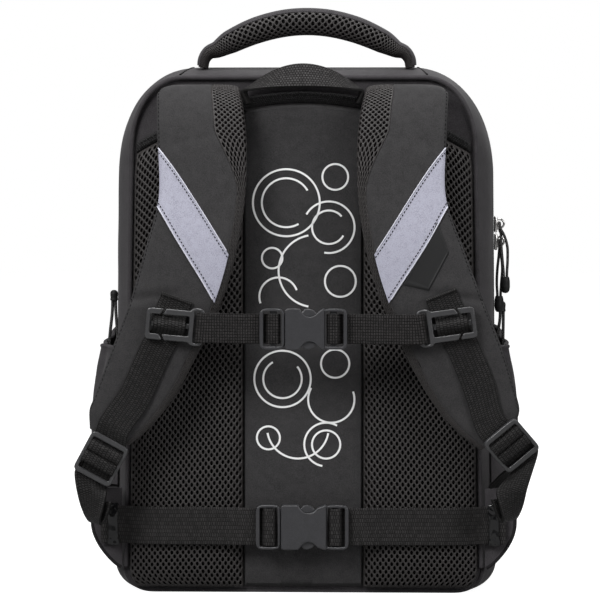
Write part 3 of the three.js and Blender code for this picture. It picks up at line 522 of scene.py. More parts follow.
class Recipe:
    """Node tree of one material, filled step by step."""

    def __init__(self, name: str) -> None:
        """Starts a material with its shader."""
        self.material = bpy.data.materials.new(name)
        self.material.use_nodes = True
        self.tree = self.material.node_tree
        self.shader = self.tree.nodes["Principled BSDF"]

    def node(self, kind: str, inputs: dict[str, object] | None = None, **settings: object) -> bpy.types.Node:
        """Adds a node.

        Args:
            kind: Blender's node type.
            inputs: Values of its sockets.
            settings: Values of its own options.

        Returns:
            The new node.
        """
        made = self.tree.nodes.new(kind)
        for name, value in settings.items():
            setattr(made, name, value)
        for name, value in (inputs or {}).items():
            made.inputs[name].default_value = value
        return made

    def link(self, source: bpy.types.Node, output: str, target: bpy.types.Node, socket: str) -> None:
        """Joins two sockets."""
        self.tree.links.new(source.outputs[output], target.inputs[socket])


@dataclass(frozen=True)
class Finish:
    """A finish: its colour, gloss and the texture that it shows close up.

    Colours are linear. Grain and weave sizes are millimetres, and bump is a height in millimetres.
    """

    name: str
    slot: str
    color: tuple[float, float, float]
    roughness: float
    pattern: Pattern = Pattern.GRAIN
    grain: float = 0.8
    weave: tuple[float, float] = (2.2, 1.5)
    offset: float = 0.5
    gap: float = 0.12
    mottle: float = 0.3
    bump: float = 0.08
    metallic: float = 0.0
    sheen: float = 0.0
    specular: float = 0.5

    def material(self) -> bpy.types.Material:
        """Gives the material, made at its first use."""
        return bpy.data.materials.get(self.name) or self.mixed()

    def tone(self, share: float) -> tuple[float, float, float, float]:
        """Gives the colour made lighter or darker."""
        return (self.color[0] * share, self.color[1] * share, self.color[2] * share, 1.0)

    def mixed(self) -> bpy.types.Material:
        """Mixes the material from its fields.

        Returns:
            The new material.
        """
        recipe = Recipe(self.name)
        shader = recipe.shader
        shader.inputs["Roughness"].default_value = self.roughness
        shader.inputs["Metallic"].default_value = self.metallic
        shader.inputs["Specular IOR Level"].default_value = self.specular
        shader.inputs["Sheen Weight"].default_value = self.sheen
        shader.inputs["Sheen Roughness"].default_value = 0.5
        bump = recipe.node("ShaderNodeBump", {"Strength": 1.0, "Distance": self.bump * MM})
        recipe.link(bump, "Normal", shader, "Normal")
        if self.pattern in (Pattern.WEAVE, Pattern.BRAID):
            self.weave_in(recipe, bump)
        else:
            self.grain_in(recipe, bump)
        return recipe.material

    def grain_in(self, recipe: Recipe, bump: bpy.types.Node) -> None:
        """Lays a fine grain over the piece.

        Args:
            recipe: The material being mixed.
            bump: Its bump node.
        """
        place = recipe.node("ShaderNodeTexCoord")
        broad = recipe.node("ShaderNodeTexNoise", {"Scale": 1000 / (self.grain * 9), "Detail": 3.0})
        kind = "ShaderNodeTexVoronoi" if self.pattern is Pattern.BEADS else "ShaderNodeTexNoise"
        fine = recipe.node(kind, {"Scale": 1000 / self.grain, "Detail": 1.0})
        mixing = recipe.node("ShaderNodeMath", operation="MULTIPLY_ADD")
        mixing.inputs[1].default_value = 0.5
        ramp = recipe.node("ShaderNodeValToRGB")
        ramp.color_ramp.elements[0].color = self.tone(1 - self.mottle)
        ramp.color_ramp.elements[1].color = self.tone(1 + self.mottle)
        ramp.color_ramp.elements[0].position = 0.5
        ramp.color_ramp.elements[1].position = 1.0
        output = "Distance" if self.pattern is Pattern.BEADS else "Fac"
        recipe.link(place, "Object", broad, "Vector")
        recipe.link(place, "Object", fine, "Vector")
        recipe.tree.links.new(broad.outputs["Fac"], mixing.inputs[0])
        recipe.tree.links.new(fine.outputs[output], mixing.inputs[2])
        recipe.link(mixing, "Value", ramp, "Fac")
        recipe.link(ramp, "Color", recipe.shader, "Base Color")
        recipe.link(fine, output, bump, "Height")

    def weave_in(self, recipe: Recipe, bump: bpy.types.Node) -> None:
        """Lays a weave along the piece's own map.

        Args:
            recipe: The material being mixed.
            bump: Its bump node.
        """
        turn = math.radians(38) if self.pattern is Pattern.BRAID else 0.0
        chart = recipe.node("ShaderNodeUVMap")
        mapping = recipe.node("ShaderNodeMapping", {"Rotation": (0.0, 0.0, turn)})
        brick = recipe.node(
            "ShaderNodeTexBrick",
            {"Scale": 1000.0, "Mortar Size": 0.45, "Mortar Smooth": 0.8, "Brick Width": self.weave[0],
             "Row Height": self.weave[1], "Color1": self.tone(1 + self.mottle),
             "Color2": self.tone(1 - self.mottle), "Mortar": self.tone(self.gap)},
            offset=self.offset, offset_frequency=2, squash=1.0,
        )
        bump.invert = True
        recipe.link(chart, "UV", mapping, "Vector")
        recipe.link(mapping, "Vector", brick, "Vector")
        recipe.link(brick, "Color", recipe.shader, "Base Color")
        recipe.link(brick, "Fac", bump, "Height")


SHELL_CLOTH = Finish("shell_cloth", "fabric", (0.042, 0.039, 0.042), 0.82, grain=0.7, sheen=0.08,
                     specular=0.15)
PANEL_CLOTH = Finish("panel_cloth", "fabric", (0.033, 0.032, 0.033), 0.85, grain=0.7, sheen=0.07,
                     specular=0.15)
# Painted shade: a near-black cloth whose dark colour stands for the shade in seam grooves and along welted
# edges.
SEAM_SHADE_CLOTH = Finish("seam_shade_cloth", "fabric", (0.014, 0.013, 0.014), 0.85, grain=0.7, specular=0.15)
NET_CLOTH = Finish("net_cloth", "mesh", (0.035, 0.032, 0.0315), 0.5, grain=0.5, specular=0.3)
# Partly painted shade: the foam is real, but its near-black, barely reflecting tone stands for the shade deep
# in the net's holes.
FOAM_AND_HOLE_SHADE = Finish("foam", "mesh", (0.005, 0.0045, 0.0045), 0.95, grain=0.9, bump=0.05, specular=0.05)
WEBBING = Finish("strap_webbing", "webbing", (0.024, 0.023, 0.023), 0.6, Pattern.WEAVE, weave=(1.6, 2.7),
                 gap=0.2, bump=0.4, specular=0.15)
BELT_WEBBING = Finish("belt_webbing", "webbing", (0.028, 0.0265, 0.0265), 0.65, Pattern.WEAVE,
                      weave=(1.8, 3.0), gap=0.35, bump=0.3, specular=0.15)
LADDER_WEBBING = Finish("ladder_webbing", "webbing", (0.026, 0.024, 0.024), 0.65, Pattern.WEAVE,
                        weave=(2.0, 2.2), offset=0.0, bump=0.4, mottle=0.25, specular=0.15)
LOOP_WEBBING = Finish("loop_webbing", "webbing", (0.040, 0.038, 0.038), 0.65, Pattern.WEAVE,
                      weave=(2.2, 2.1), gap=0.25, bump=0.5, specular=0.15)
TAPE = Finish("tape", "webbing", (0.026, 0.025, 0.026), 0.75, Pattern.WEAVE, weave=(1.7, 1.7), gap=0.25,
              bump=0.25, specular=0.2)
BRAID = Finish("braid", "webbing", (0.060, 0.058, 0.058), 0.6, Pattern.BRAID, weave=(2.4, 1.3), gap=0.06,
               bump=0.3)
THREAD = Finish("thread", "fabric", (0.011, 0.011, 0.011), 0.8, grain=0.4, specular=0.1)
PLASTIC = Finish("moulded_plastic", "plastic", (0.033, 0.033, 0.036), 0.34, grain=0.6, mottle=0.2,
                 bump=0.02, specular=0.5)
DARK_PLASTIC = Finish("dark_plastic", "plastic", (0.034, 0.034, 0.036), 0.3, grain=0.6, mottle=0.15,
                      bump=0.012, specular=0.7)
FILM = Finish("film", "plastic", (0.006, 0.006, 0.0065), 0.16, grain=2.5, mottle=0.1, bump=0.03)
RUBBER = Finish("soft_rubber", "rubber", (0.013, 0.013, 0.0135), 0.55, grain=0.5, mottle=0.08, bump=0.02,
                specular=0.25)
NICKEL = Finish("bright_nickel", "nickel", (0.72, 0.71, 0.70), 0.22, grain=0.6, mottle=0.03, bump=0.004,
                metallic=1.0)
REFLECTIVE = Finish("reflective_cloth", "reflective", (0.27, 0.27, 0.325), 0.5, Pattern.BEADS, grain=0.6,
                    mottle=0.4, bump=0.02, specular=0.3)
REFLECTIVE_EDGE = Finish("reflective_edge", "reflective", (0.55, 0.55, 0.62), 0.4, grain=0.5, mottle=0.03)
PRINT = Finish("print", "fabric", (0.78, 0.78, 0.78), 0.6, grain=0.5, mottle=0.03, bump=0.01)


def dress(piece: Piece, finish: Finish, *replaced: str) -> Piece:
    """Gives a piece its finish and its place in the part.

    Args:
        piece: The finished mesh.
        finish: What it is made of.
        replaced: CAD nodes that it stands for.

    Returns:
        The piece.
    """
    piece.data.materials.clear()
    piece.data.materials.append(finish.material())
    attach(piece, "root")
    if replaced:
        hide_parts(*replaced)
    LOG.info("%s: %d faces, %s", piece.name, len(piece.data.polygons), finish.name)
    return piece


# Bag

# Places that outer faces turn their backs to: within the bag, behind the pads, and behind the straps
BAG_MIDDLE = np.array([0.0, 80.0, 200.0])
PAD_BACK = np.array([0.0, 30.0, 200.0])
STRAP_BACK = np.array([0.0, 400.0, 250.0])


@dataclass
class BagShell:
    """The bag's cloth walls, zip and piping."""

    wall: float = 2.5
    gap: float = 0.3
    foot_run: float = 24.0
    foot_rise: float = 26.0
    foot_power: float = 2.2
    foot_flat: float = 0.78
    shoulder_power: float = 2.15
    zip_back: float = 53.0
    zip_front: float = 67.0
    chain_back: float = 57.4
    chain_front: float = 62.6
    front_seam: float = 160.0
    crown: float = 10.5
    piping: float = 2.0
    teeth: int = 380
    depths: tuple[float, ...] = (0, 22, 60, 120, 160)
    bases: tuple[float, ...] = (141, 148, 152, 148.5, 143)
    shoulders: tuple[float, ...] = (136.5, 144.5, 149, 143, 135)
    tops: tuple[float, ...] = (410.5, 415, 417.5, 411, 402)
    runs: tuple[float, ...] = (44, 58, 67, 64, 58)
    rises: tuple[float, ...] = (62, 80, 88, 88, 86)
    top_share: float = 0.17
    corner_share: float = 0.25

    def section(self, y: Values) -> list[Values]:
        """Reads base, shoulder, top, corner run and corner rise at a depth."""
        tables = (self.bases, self.shoulders, self.tops, self.runs, self.rises)
        return [hermite(self.depths, table, y) for table in tables]

    def arch(self, s: Values, y: Values) -> Points:
        """Follows the outline over the top.

        Args:
            s: -1 at the left foot seam, 0 at the middle of the top, 1 at the right foot seam.
            y: Depth.

        Returns:
            Places on the bag's outer face.
        """
        base, shoulder, top, run, rise = self.section(y)
        share = np.abs(s)
        flat = np.clip(share / self.top_share, 0, 1)
        turn = np.clip((share - self.top_share) / self.corner_share, 0, 1) * math.pi / 2
        side_share = 1 - self.top_share - self.corner_share
        fall = np.clip((share - self.top_share - self.corner_share) / side_share, 0, 1)
        power = 2 / self.shoulder_power
        x = (shoulder - run) * flat + run * np.sin(turn) ** power + (base - shoulder) * fall
        z = top - rise + rise * np.maximum(np.cos(turn), 0) ** power
        z = z + (self.foot_rise + self.gap - (top - rise)) * fall
        return np.stack([np.sign(s) * x, y + 0 * x, z], axis=-1)

    def floor(self, s: Values, y: Values) -> Points:
        """Follows the rounded base from its left seam to its right seam."""
        base = self.section(y)[0]
        share = np.abs(s)
        turn = np.clip((share - self.foot_flat) / (1 - self.foot_flat), 0, 1) * math.pi / 2
        power = 2 / self.foot_power
        flat = np.clip(share / self.foot_flat, 0, 1)
        x = (base - self.foot_run) * flat + self.foot_run * np.sin(turn) ** power
        z = self.foot_rise - (self.foot_rise - FLOOR) * np.maximum(np.cos(turn), 0) ** power
        return np.stack([np.sign(s) * x, y + 0 * x, z], axis=-1)

    def half_width(self, y: float, z: Values) -> Values:
        """Gives the outline's half width at a height.

        Args:
            y: Depth.
            z: Heights.

        Returns:
            Half widths.
        """
        base, shoulder, top, run, rise = (float(value) for value in self.section(np.array(y)))
        fall = np.clip((self.foot_rise - z) / (self.foot_rise - FLOOR), 0, 1)
        foot = base - self.foot_run + self.foot_run * (1 - fall**self.foot_power) ** (1 / self.foot_power)
        climb = np.clip((z - top + rise) / rise, 0, 1)
        corner = shoulder - run + run * (1 - climb**self.shoulder_power) ** (1 / self.shoulder_power)
        side = lerp(base, shoulder, np.clip((z - self.foot_rise) / (top - rise - self.foot_rise), 0, 1))
        return np.where(z < self.foot_rise, foot, np.where(climb > 0, corner, side))

    def filled(self, y: float, inset: float, bulge: Relief) -> Surface:
        """Fills the outline at one depth.

        Args:
            y: Depth of the outline.
            inset: Distance inside it.
            bulge: Depth of the face for two shares.

        Returns:
            The face as a surface.
        """
        top = float(self.section(np.array(y))[2])

        def surface(u: Values, v: Values) -> Points:
            """Gives the filled face, with close rows at top and bottom."""
            climb = v - 0.92 * np.sin(2 * math.pi * v) / (2 * math.pi)
            z = lerp(FLOOR + inset, top - inset, climb)
            x = (2 * u - 1) * (self.half_width(y, z) - inset)
            return np.stack([x, bulge(u, climb), z], axis=-1)

        return surface

    def wall_panel(self, name: str, start: float, end: float, rows: int, slack: float) -> Piece:
        """Makes one gusset over the top.

        Args:
            name: Name of the piece.
            start: Depth of its back edge.
            end: Depth of its front edge.
            rows: Faces across it.
            slack: Height of its soft swells.

        Returns:
            The gusset.
        """

        def surface(u: Values, v: Values) -> Points:
            """Gives the gusset's outer face."""
            return self.arch(2 * u - 1, lerp(start, end, v))

        def relief(u: Values, v: Values) -> Values:
            """Swells between the sewn edges, which pull in a little."""
            places = surface(u, v)
            body = (4 * v * (1 - v)) ** 0.6
            swell = soft_noise(places, 130.0, 1.3) + 0.4 * soft_noise(places, 46.0, 4.1)
            return slack * swell * body - 0.5 * (1 - body)

        return cloth_panel(name, surface, 240, rows, self.wall, BAG_MIDDLE, relief)

    def build(self) -> None:
        """Builds and dresses the bag's walls."""
        back = self.wall_panel("back_gusset_cloth", 0.0, self.zip_back - self.gap, 18, 0.7)
        dress(back, SHELL_CLOTH, "back_gusset")
        front = self.wall_panel("front_gusset_cloth", self.zip_front + self.gap, self.front_seam, 28, 1.1)
        dress(front, SHELL_CLOTH, "front_gusset")
        self.build_zip()
        self.build_base()
        self.build_faces()
        self.build_piping()

    def build_zip(self) -> None:
        """Builds the zip's tape and its closed chain of teeth."""

        def tape(u: Values, v: Values) -> Points:
            """Gives the tape's face."""
            return self.arch(2 * u - 1, lerp(self.zip_back, self.zip_front, v))

        def channel(u: Values, v: Values) -> Values:
            """Sinks the tape towards the teeth."""
            return -0.9 * np.exp(-(((v - 0.5) / 0.28) ** 4))

        dress(cloth_panel("zip_tape", tape, 240, 14, 1.4, BAG_MIDDLE, channel), TAPE, "zip")

        def chain(u: Values, v: Values) -> Points:
            """Gives the strip that the teeth stand on."""
            return self.arch(2 * u - 1, lerp(self.chain_back, self.chain_front, v))

        def tooth(u: Values, v: Values) -> Values:
            """Raises a tooth at each pitch, left and right in turn."""
            wave = np.abs(np.sin(math.pi * self.teeth * u + (v > 0.5) * math.pi / 2))
            return -0.9 + 1.1 * wave**0.6 * (1 - (2 * v - 1) ** 4)

        dress(cloth_panel("zip_teeth", chain, self.teeth * 4, 6, 0.8, BAG_MIDDLE, tooth), DARK_PLASTIC)

    def build_base(self) -> None:
        """Builds the base that the bag stands on."""

        def surface(u: Values, v: Values) -> Points:
            """Gives the base's outer face."""
            return self.floor(2 * u - 1, lerp(0.0, self.front_seam, v))

        def relief(u: Values, v: Values) -> Values:
            """Lets the rounded sides swell; the flat underside stays flat."""
            places = surface(u, v)
            climb = np.clip((places[..., 2] - FLOOR) / (self.foot_rise - FLOOR), 0, 1)
            return 0.6 * soft_noise(places, 70.0, 2.2) * climb

        dress(cloth_panel("base_cloth", surface, 140, 36, self.wall, BAG_MIDDLE, relief), SHELL_CLOTH, "base")

    def build_faces(self) -> None:
        """Builds the front panel and the panel behind the back padding."""
        face = self.front_seam + self.gap + self.wall

        def bulge(u: Values, v: Values) -> Values:
            """Crowns the front panel."""
            return face + self.crown * (1 - np.abs(2 * u - 1) ** 3) * (1 - np.abs(2 * v - 1) ** 3)

        def slack(u: Values, v: Values) -> Values:
            """Lets the front panel sag softly."""
            places = front(u, v)
            return 0.9 * soft_noise(places, 150.0, 3.3) * (1 - (2 * u - 1) ** 6) * (1 - (2 * v - 1) ** 6)

        front = self.filled(self.front_seam, 0.0, bulge)
        panel = cloth_panel("front_panel_cloth", front, 54, 80, self.wall, BAG_MIDDLE, slack)
        dress(panel, SHELL_CLOTH, "front_panel")
        back = self.filled(0.0, self.wall + self.gap, lambda u, v: 0.0 * u)
        dress(cloth_panel("back_panel_cloth", back, 40, 60, self.wall, BAG_MIDDLE), SHELL_CLOTH, "back_panel")

    def build_piping(self) -> None:
        """Builds the welt round the back panel and the short seams under the handle feet, whose near-black
        lines are painted shade in their grooves.
        """
        s = np.linspace(-1, 1, 121)
        line = self.arch(s, np.zeros_like(s))
        along = unit(np.gradient(line, axis=0))
        inward = np.stack([along[:, 2], 0 * s, -along[:, 0]], axis=1)
        route = line + inward * (self.piping + 0.4)
        route[:, 1] = -self.piping - self.gap
        dress(tube("back_piping", route, self.piping, 300, 10), SHELL_CLOTH, "piping")
        # The seams are real; their continuous near-black lines in thread colour are painted shade in the seam
        # grooves.
        seams = []
        for sign in (-1, 1):
            y = np.linspace(0.5, self.zip_back - 1, 12)
            s = np.full_like(y, sign * (self.top_share + 0.012))
            seams.append(tube("gusset_seam", self.arch(s, y) + [0, 0, 0.1], 0.55, 24, 6))
        dress(joined("gusset_seam_shade_lines", seams), THREAD)


# Back padding


@dataclass
class BackPadding:
    """The padded back: two mesh pads, a smooth middle and the tape that binds them above."""

    shell: BagShell
    bottom: float = 11.0
    edge: float = 4.0
    side: float = 16.0
    middle: float = 10.0
    inner: float = 47.0
    margin: float = 5.5
    binding_centre: float = 388.0
    binding_drop: float = 35.0
    binding_reach: float = 122.0
    binding_end: float = 130.0
    binding_width: float = 9.0
    hole: tuple[float, float] = (4.3, 6.2)
    strand: float = 1.2
    line: float = 1.5
    arcs: tuple[tuple[float, float, float, float, float], ...] = (
        (-13, 311, 26, 0, 360), (-13, 311, 19, 30, 300), (25, 331, 10, 0, 360), (20, 292, 20, -100, 150),
        (20, 292, 13, 40, 330), (-24, 268, 8, 0, 360), (9, 258, 28, 100, 260), (29, 250, 12, 0, 360),
        (-19, 238, 15, 20, 200), (-16, 174, 22, 0, 360), (-16, 174, 15, 120, 400), (25, 186, 11, 0, 360),
        (22, 158, 18, 150, 380), (-4, 136, 24, 190, 350), (-27, 128, 9, 0, 360), (18, 123, 11, 0, 360),
        (18, 123, 17, 60, 260))

    def binding_height(self, x: Values) -> Values:
        """Gives the height of the pads' arched upper edge."""
        return self.binding_centre - self.binding_drop * (x / self.binding_reach) ** 2

    def pad_face(self, inside: Relief, outside: Relief, thickness: float, sink: float, wall: bool) -> Surface:
        """Gives the front of a pad.

        Args:
            inside: Left edge for a height.
            outside: Right edge for a height.
            thickness: Thickness of the pad at its crown.
            sink: How far the face lies under the pad's own front.
            wall: Whether the face turns down to the bag at its edges.

        Returns:
            The surface.
        """

        def surface(u: Values, v: Values) -> Points:
            """Gives the padded face."""
            guide = lerp(self.bottom, float(self.binding_height(np.array(90.0))), v)
            x = lerp(inside(guide), outside(guide), u)
            z = lerp(self.bottom, self.binding_height(x), v)
            a = np.abs(2 * u - 1)
            b = np.abs(2 * v - 1)
            swell = np.maximum((1 - a**4) * (1 - b**6), 0) ** 0.4
            y = -0.3 - self.edge - (thickness - self.edge) * swell + sink
            if wall:
                y = lerp(y, -0.5, np.maximum(ease(a, 0.965, 1.0), ease(b, 0.99, 1.0)))
            return np.stack([x, y, z], axis=-1)

        return surface

    def edge_of(self, z: Values) -> Values:
        """Gives the side pads' outer edge."""
        return self.shell.half_width(0.0, z) - self.margin

    def build(self) -> None:
        """Builds and dresses the padding."""
        sides = (
            ("left_pad", lambda z: -self.edge_of(z), lambda z: 0 * z - self.inner),
            ("right_pad", lambda z: 0 * z + self.inner, self.edge_of),
        )
        for name, inside, outside in sides:
            foam = self.pad_face(inside, outside, self.side, self.strand + 0.3, True)
            # The foam's near-black tone is painted shade where it shows through the net's holes.
            body = cloth_panel(f"{name}_foam", foam, 36, 84, 1.8, PAD_BACK)
            dress(body, FOAM_AND_HOLE_SHADE, name)
            net = self.pad_face(inside, outside, self.side, self.strand / 2, False)
            columns = round(float(self.edge_of(np.array(200.0)) - self.inner) / self.hole[0])
            rows = round(float(self.binding_height(np.array(90.0)) - self.bottom) / self.hole[1])
            lattice = open_net(f"{name}_net", net, columns, rows, PAD_BACK)
            dress(lattice, NET_CLOTH)
        self.build_middle()
        self.build_binding()

    def middle_face(self, sink: float, wall: bool) -> Surface:
        """Gives the smooth middle panel's face."""
        half = self.inner - 0.3
        return self.pad_face(lambda z: 0 * z - half, lambda z: 0 * z + half, self.middle, sink, wall)

    def slack(self, u: Values, v: Values) -> Values:
        """Lets the middle panel's cloth sag softly between its seams."""
        return 0.5 * soft_noise(self.middle_face(0.0, True)(u, v), 90.0, 5.1) * 4 * u * (1 - u)

    def build_middle(self) -> None:
        """Builds the smooth middle panel with its printed lines."""
        face = self.middle_face(0.0, True)
        panel = cloth_panel("center_pad_cloth", face, 50, 120, 1.8, PAD_BACK, self.slack)
        dress(panel, PANEL_CLOTH, "center_pad")
        self.print_lines()

    def print_lines(self) -> None:
        """Prints a plain design of rings and arcs in thin white lines."""
        pieces = []
        for across, height, radius, start, end in self.arcs:
            turn = np.radians(np.linspace(start, end, 2 + round((end - start) * radius / 100)))
            points = np.stack([across + radius * np.cos(turn), height + radius * np.sin(turn)], axis=1)
            pieces.append(self.painted_line(points))
        dress(joined("print_lines", pieces), PRINT)

    def painted_line(self, corners: Points) -> Piece:
        """Paints one thin line on the middle panel.

        Args:
            corners: Its corners across and up.

        Returns:
            The raised line.
        """
        face = self.middle_face(-0.35, False)
        legs = unit(np.diff(corners, axis=0))
        before = np.vstack([legs[:1], legs])
        after = np.vstack([legs, legs[-1:]])
        if np.allclose(corners[0], corners[-1]):
            before[0] = legs[-1]
            after[-1] = legs[0]
        half = unit(before + after)
        stretch = 1 / np.maximum((half * after).sum(axis=1), 0.3)
        sideways = np.stack([-half[:, 1], half[:, 0]], axis=1) * stretch[:, None] * self.line / 2
        share = np.linspace(0, 1, len(corners))

        def surface(u: Values, v: Values) -> Points:
            """Gives the line laid on the panel."""
            place = read_rows(u, share, corners) + (2 * v - 1)[:, None] * read_rows(u, share, sideways)
            x, z = place.T
            across = np.clip((x + self.inner - 0.3) / (2 * self.inner - 0.6), 0, 1)
            climb = (z - self.bottom) / (self.binding_height(x) - self.bottom)
            sag = self.slack(across, climb)
            return face(across, climb) - np.stack([0 * sag, sag, 0 * sag], axis=-1)

        steps = (len(corners) - 1) * max(1, 24 // len(corners))
        return cloth_panel("painted_line", surface, steps, 1, 0.5, PAD_BACK)

    def build_binding(self) -> None:
        """Builds the arched binding tape with its two sewn lines."""

        def surface(u: Values, v: Values) -> Points:
            """Gives the tape's face, rolled over along both edges."""
            x = lerp(-self.binding_end, self.binding_end, u)
            z = self.binding_height(x) + 0.6 + self.binding_width * v
            y = -1.0 - 2.2 * np.maximum(1 - np.abs(2 * v - 1) ** 3, 0) ** 0.5
            return np.stack([x, y, z], axis=-1)

        tape = cloth_panel("pad_binding_tape", surface, 120, 12, 0.8, np.array([0.0, 30.0, 350.0]))
        dress(tape, TAPE, "pad_binding")
        at = np.linspace(0.01, 0.99, 120)
        lift = np.tile([0.0, -1.0, 0.0], (len(at), 1))
        rows = []
        for height in (0.3, 0.72):
            line = surface(at, np.full_like(at, height)) + [0, -0.15, 0]
            rows.append(stitch_row("binding_stitch", line, lift, BINDING_STITCH))
        dress(joined("binding_stitches", rows), THREAD)


# Shoulder straps


class Side(Enum):
    """Left or right as seen from the wearer's side."""

    LEFT = -1
    RIGHT = 1

    @property
    def label(self) -> str:
        """Gives the side's word in names."""
        return self.name.lower()


@dataclass(frozen=True)
class SideSizes:
    """What differs between the two sides, in millimetres and degrees."""

    end_outer: tuple[float, float]
    end_inner: tuple[float, float]
    lock_place: tuple[float, float, float]
    lock_lean: float
    lock_pitch: float
    clip_x: float
    clip_lean: float
    flare: float
    web_shift: float
    pocket_bulge: float
    tail_z: float
    draw_x: float
    draw_top: float


SIZES = {
    Side.LEFT: SideSizes((163, 138), (133, 125), (153.6, -52.9, 115), 28.5, 4, 94.4, 5, 0, -0.5, 19.5, 64,
                          155.4, 239.5),
    Side.RIGHT: SideSizes((165.5, 146), (137.5, 122), (161.5, -55, 125), 40, 22, 109.4, 8, 1, 8, 16, 67,
                           156.6, 231),
}


@dataclass
class ShoulderStrap:
    """One shoulder strap with what is sewn on it.

    A place on it is its run (0 at the root, 1 at the lower end), its width (-1 inner edge,
    1 outer edge) and its lift towards the wearer's back.
    """

    side: Side
    half: float = 5.2
    face: float = 0.9
    band_top: float = -0.33
    fade_from: float = 0.33
    fade_to: float = 0.45
    face_edge: float = 0.86
    outer_high: float = 0.376
    outer_low: float = 0.468
    inner_high: float = 0.553
    inner_low: float = 0.641
    patch_from: float = 0.5605
    patch_height: float = 0.058
    patch_slant: float = -0.103
    patch_left: float = -0.46
    patch_right: float = 0.67
    depths: tuple[float, ...] = (-3.2, -11, -20, -29, -36, -42, -46, -47, -46, -44, -43, -42.5)
    outer_x: tuple[float, ...] = (100, 107, 112, 112, 111, 110, 120, 131, 146, 159, 163)
    outer_z: tuple[float, ...] = (395, 396.5, 393.5, 382, 358, 314, 275, 237, 198, 163, 153)
    flares: tuple[float, ...] = (0, 0, 0, 0, 0, 1, 4.5, 8, 8.5, 6, 4)
    inner_x: tuple[float, ...] = (49, 49, 48, 45.5, 43, 44, 50, 61, 79, 98, 117)
    inner_z: tuple[float, ...] = (395, 396.5, 393.5, 382, 358, 314, 275, 237, 198, 163, 139)

    def __post_init__(self) -> None:
        """Lays out the strap's two edges."""
        sizes = SIZES[self.side]
        sign = self.side.value
        outer_x = np.array(self.outer_x) + np.array(self.flares) * sizes.flare
        ends = ((outer_x, self.outer_z, sizes.end_outer), (self.inner_x, self.inner_z, sizes.end_inner))
        self.edges = [
            np.stack([sign * np.array([*xs, end[0]]), np.array(self.depths), np.array([*zs, end[1]])], axis=1)
            for xs, zs, end in ends
        ]

    def frame(self, run: Values) -> tuple[Points, Points, Points]:
        """Gives the strap's middle, half width and outward normal.

        Args:
            run: Shares of the way down.

        Returns:
            Middles, half-width vectors and unit normals.
        """
        outer, inner = (smooth_curve(edge, run) for edge in self.edges)
        step = 2e-3
        along = sum(smooth_curve(edge, run + step) - smooth_curve(edge, run - step) for edge in self.edges)
        normal = unit(np.cross(outer - inner, along)) * -self.side.value
        return (outer + inner) / 2, (outer - inner) / 2, normal

    def crest(self, width: Values) -> Values:
        """Gives the padded profile across the strap, 1 in the middle and 0 at the edges."""
        return np.maximum(1 - np.minimum(np.abs(width), 1) ** 5, 0) ** 0.3

    def place(self, run: Values, width: Values, lift: Values) -> Points:
        """Gives a place by its run, width and lift."""
        middle, half, normal = self.frame(run)
        return middle + half * width[..., None] + normal * lift[..., None]

    def on_face(self, run: Values, width: Values, above: float | Values) -> Points:
        """Gives a place on the smooth face, some way above it."""
        lift = self.half * self.crest(width) + self.face + self.crease(run, width)
        return self.place(run, width, lift + above)

    def crease(self, run: Values, width: Values) -> Values:
        """Gives the folds that the strap takes where it bends."""
        off = run - 0.622 - 0.014 * width
        pinch = 0.8 * np.exp(-((off / 0.026) ** 2)) - 1.5 * np.exp(-((off / 0.009) ** 2))
        fold = pinch * ease(width, -0.4, 0.5)
        second = -0.65 * np.exp(-(((run - 0.735 + 0.02 * width) / 0.014) ** 2)) * ease(-width, -0.2, 0.8)
        third = -0.5 * np.exp(-(((run - 0.36 - 0.02 * width) / 0.013) ** 2)) * ease(width, -0.2, 0.6)
        wave = 0.35 * np.sin(9.0 * run * math.pi + 1.4 * width) * ease(run, 0.3, 0.6)
        return fold + second + third + wave * (1 - width**2)

    def band_edge(self, run: Values) -> Values:
        """Gives the width at which the mesh band ends and the smooth face begins."""
        return lerp(self.band_top, -self.face_edge, ease(run, self.fade_from, self.fade_to))

    def build(self) -> None:
        """Builds and dresses the strap."""
        self.build_body()
        self.build_face()
        self.build_net()
        self.build_reflector()
        if self.side is Side.RIGHT:
            self.build_patch()

    def build_body(self) -> None:
        """Builds the foam body, rounded along both edges."""

        def surface(u: Values, v: Values) -> Points:
            """Gives the body's skin."""
            turn = v * 2 * math.pi
            return self.place(u, signed_power(np.cos(turn), 0.4), signed_power(np.sin(turn), 0.6) * self.half)

        # Near-black foam: painted shade where it shows through the net.
        body = flat_grid(f"{self.side.label}_strap_foam", 130, 48)
        lay_on(body, surface)
        close_up(body)
        dress(body, FOAM_AND_HOLE_SHADE, f"{self.side.label}_strap_pad")

    def build_face(self) -> None:
        """Builds the smooth cloth face, with its sewn outer edge."""

        def surface(u: Values, v: Values) -> Points:
            """Gives the cloth face, tucked down along its inner edge."""
            width = lerp(self.band_edge(u), 0.995 + 0 * u, v)
            tuck = -0.9 * np.exp(-v / 0.03)
            return self.on_face(u, width, tuck)

        label = self.side.label
        face = cloth_panel(f"{label}_strap_cloth", surface, 220, 40, 1.1, STRAP_BACK)
        dress(face, PANEL_CLOTH, f"{label}_strap_face")
        run = np.linspace(0.12, 0.9, 260)
        width = np.full_like(run, 0.955)
        line = self.on_face(run, width, 0.05)
        seam = stitch_row(f"{label}_strap_stitches", line, self.frame(run)[2], STRAP_STITCH)
        dress(seam, THREAD)

    def build_net(self) -> None:
        """Builds the mesh lining that shows along the inner edge."""

        def surface(u: Values, v: Values) -> Points:
            """Gives the net, from under the inner edge to just below the face."""
            turn = lerp(-0.75, 1.0, v)
            above = lerp(-1.0, self.band_edge(u) + 0.03, np.abs(turn))
            width = np.where(turn < 0, -1 + 0.05 * turn**2, above)
            lift = np.where(turn < 0, -self.half * np.abs(turn) ** 0.5, self.half * self.crest(width))
            return self.place(u, width, lift + 0.35)

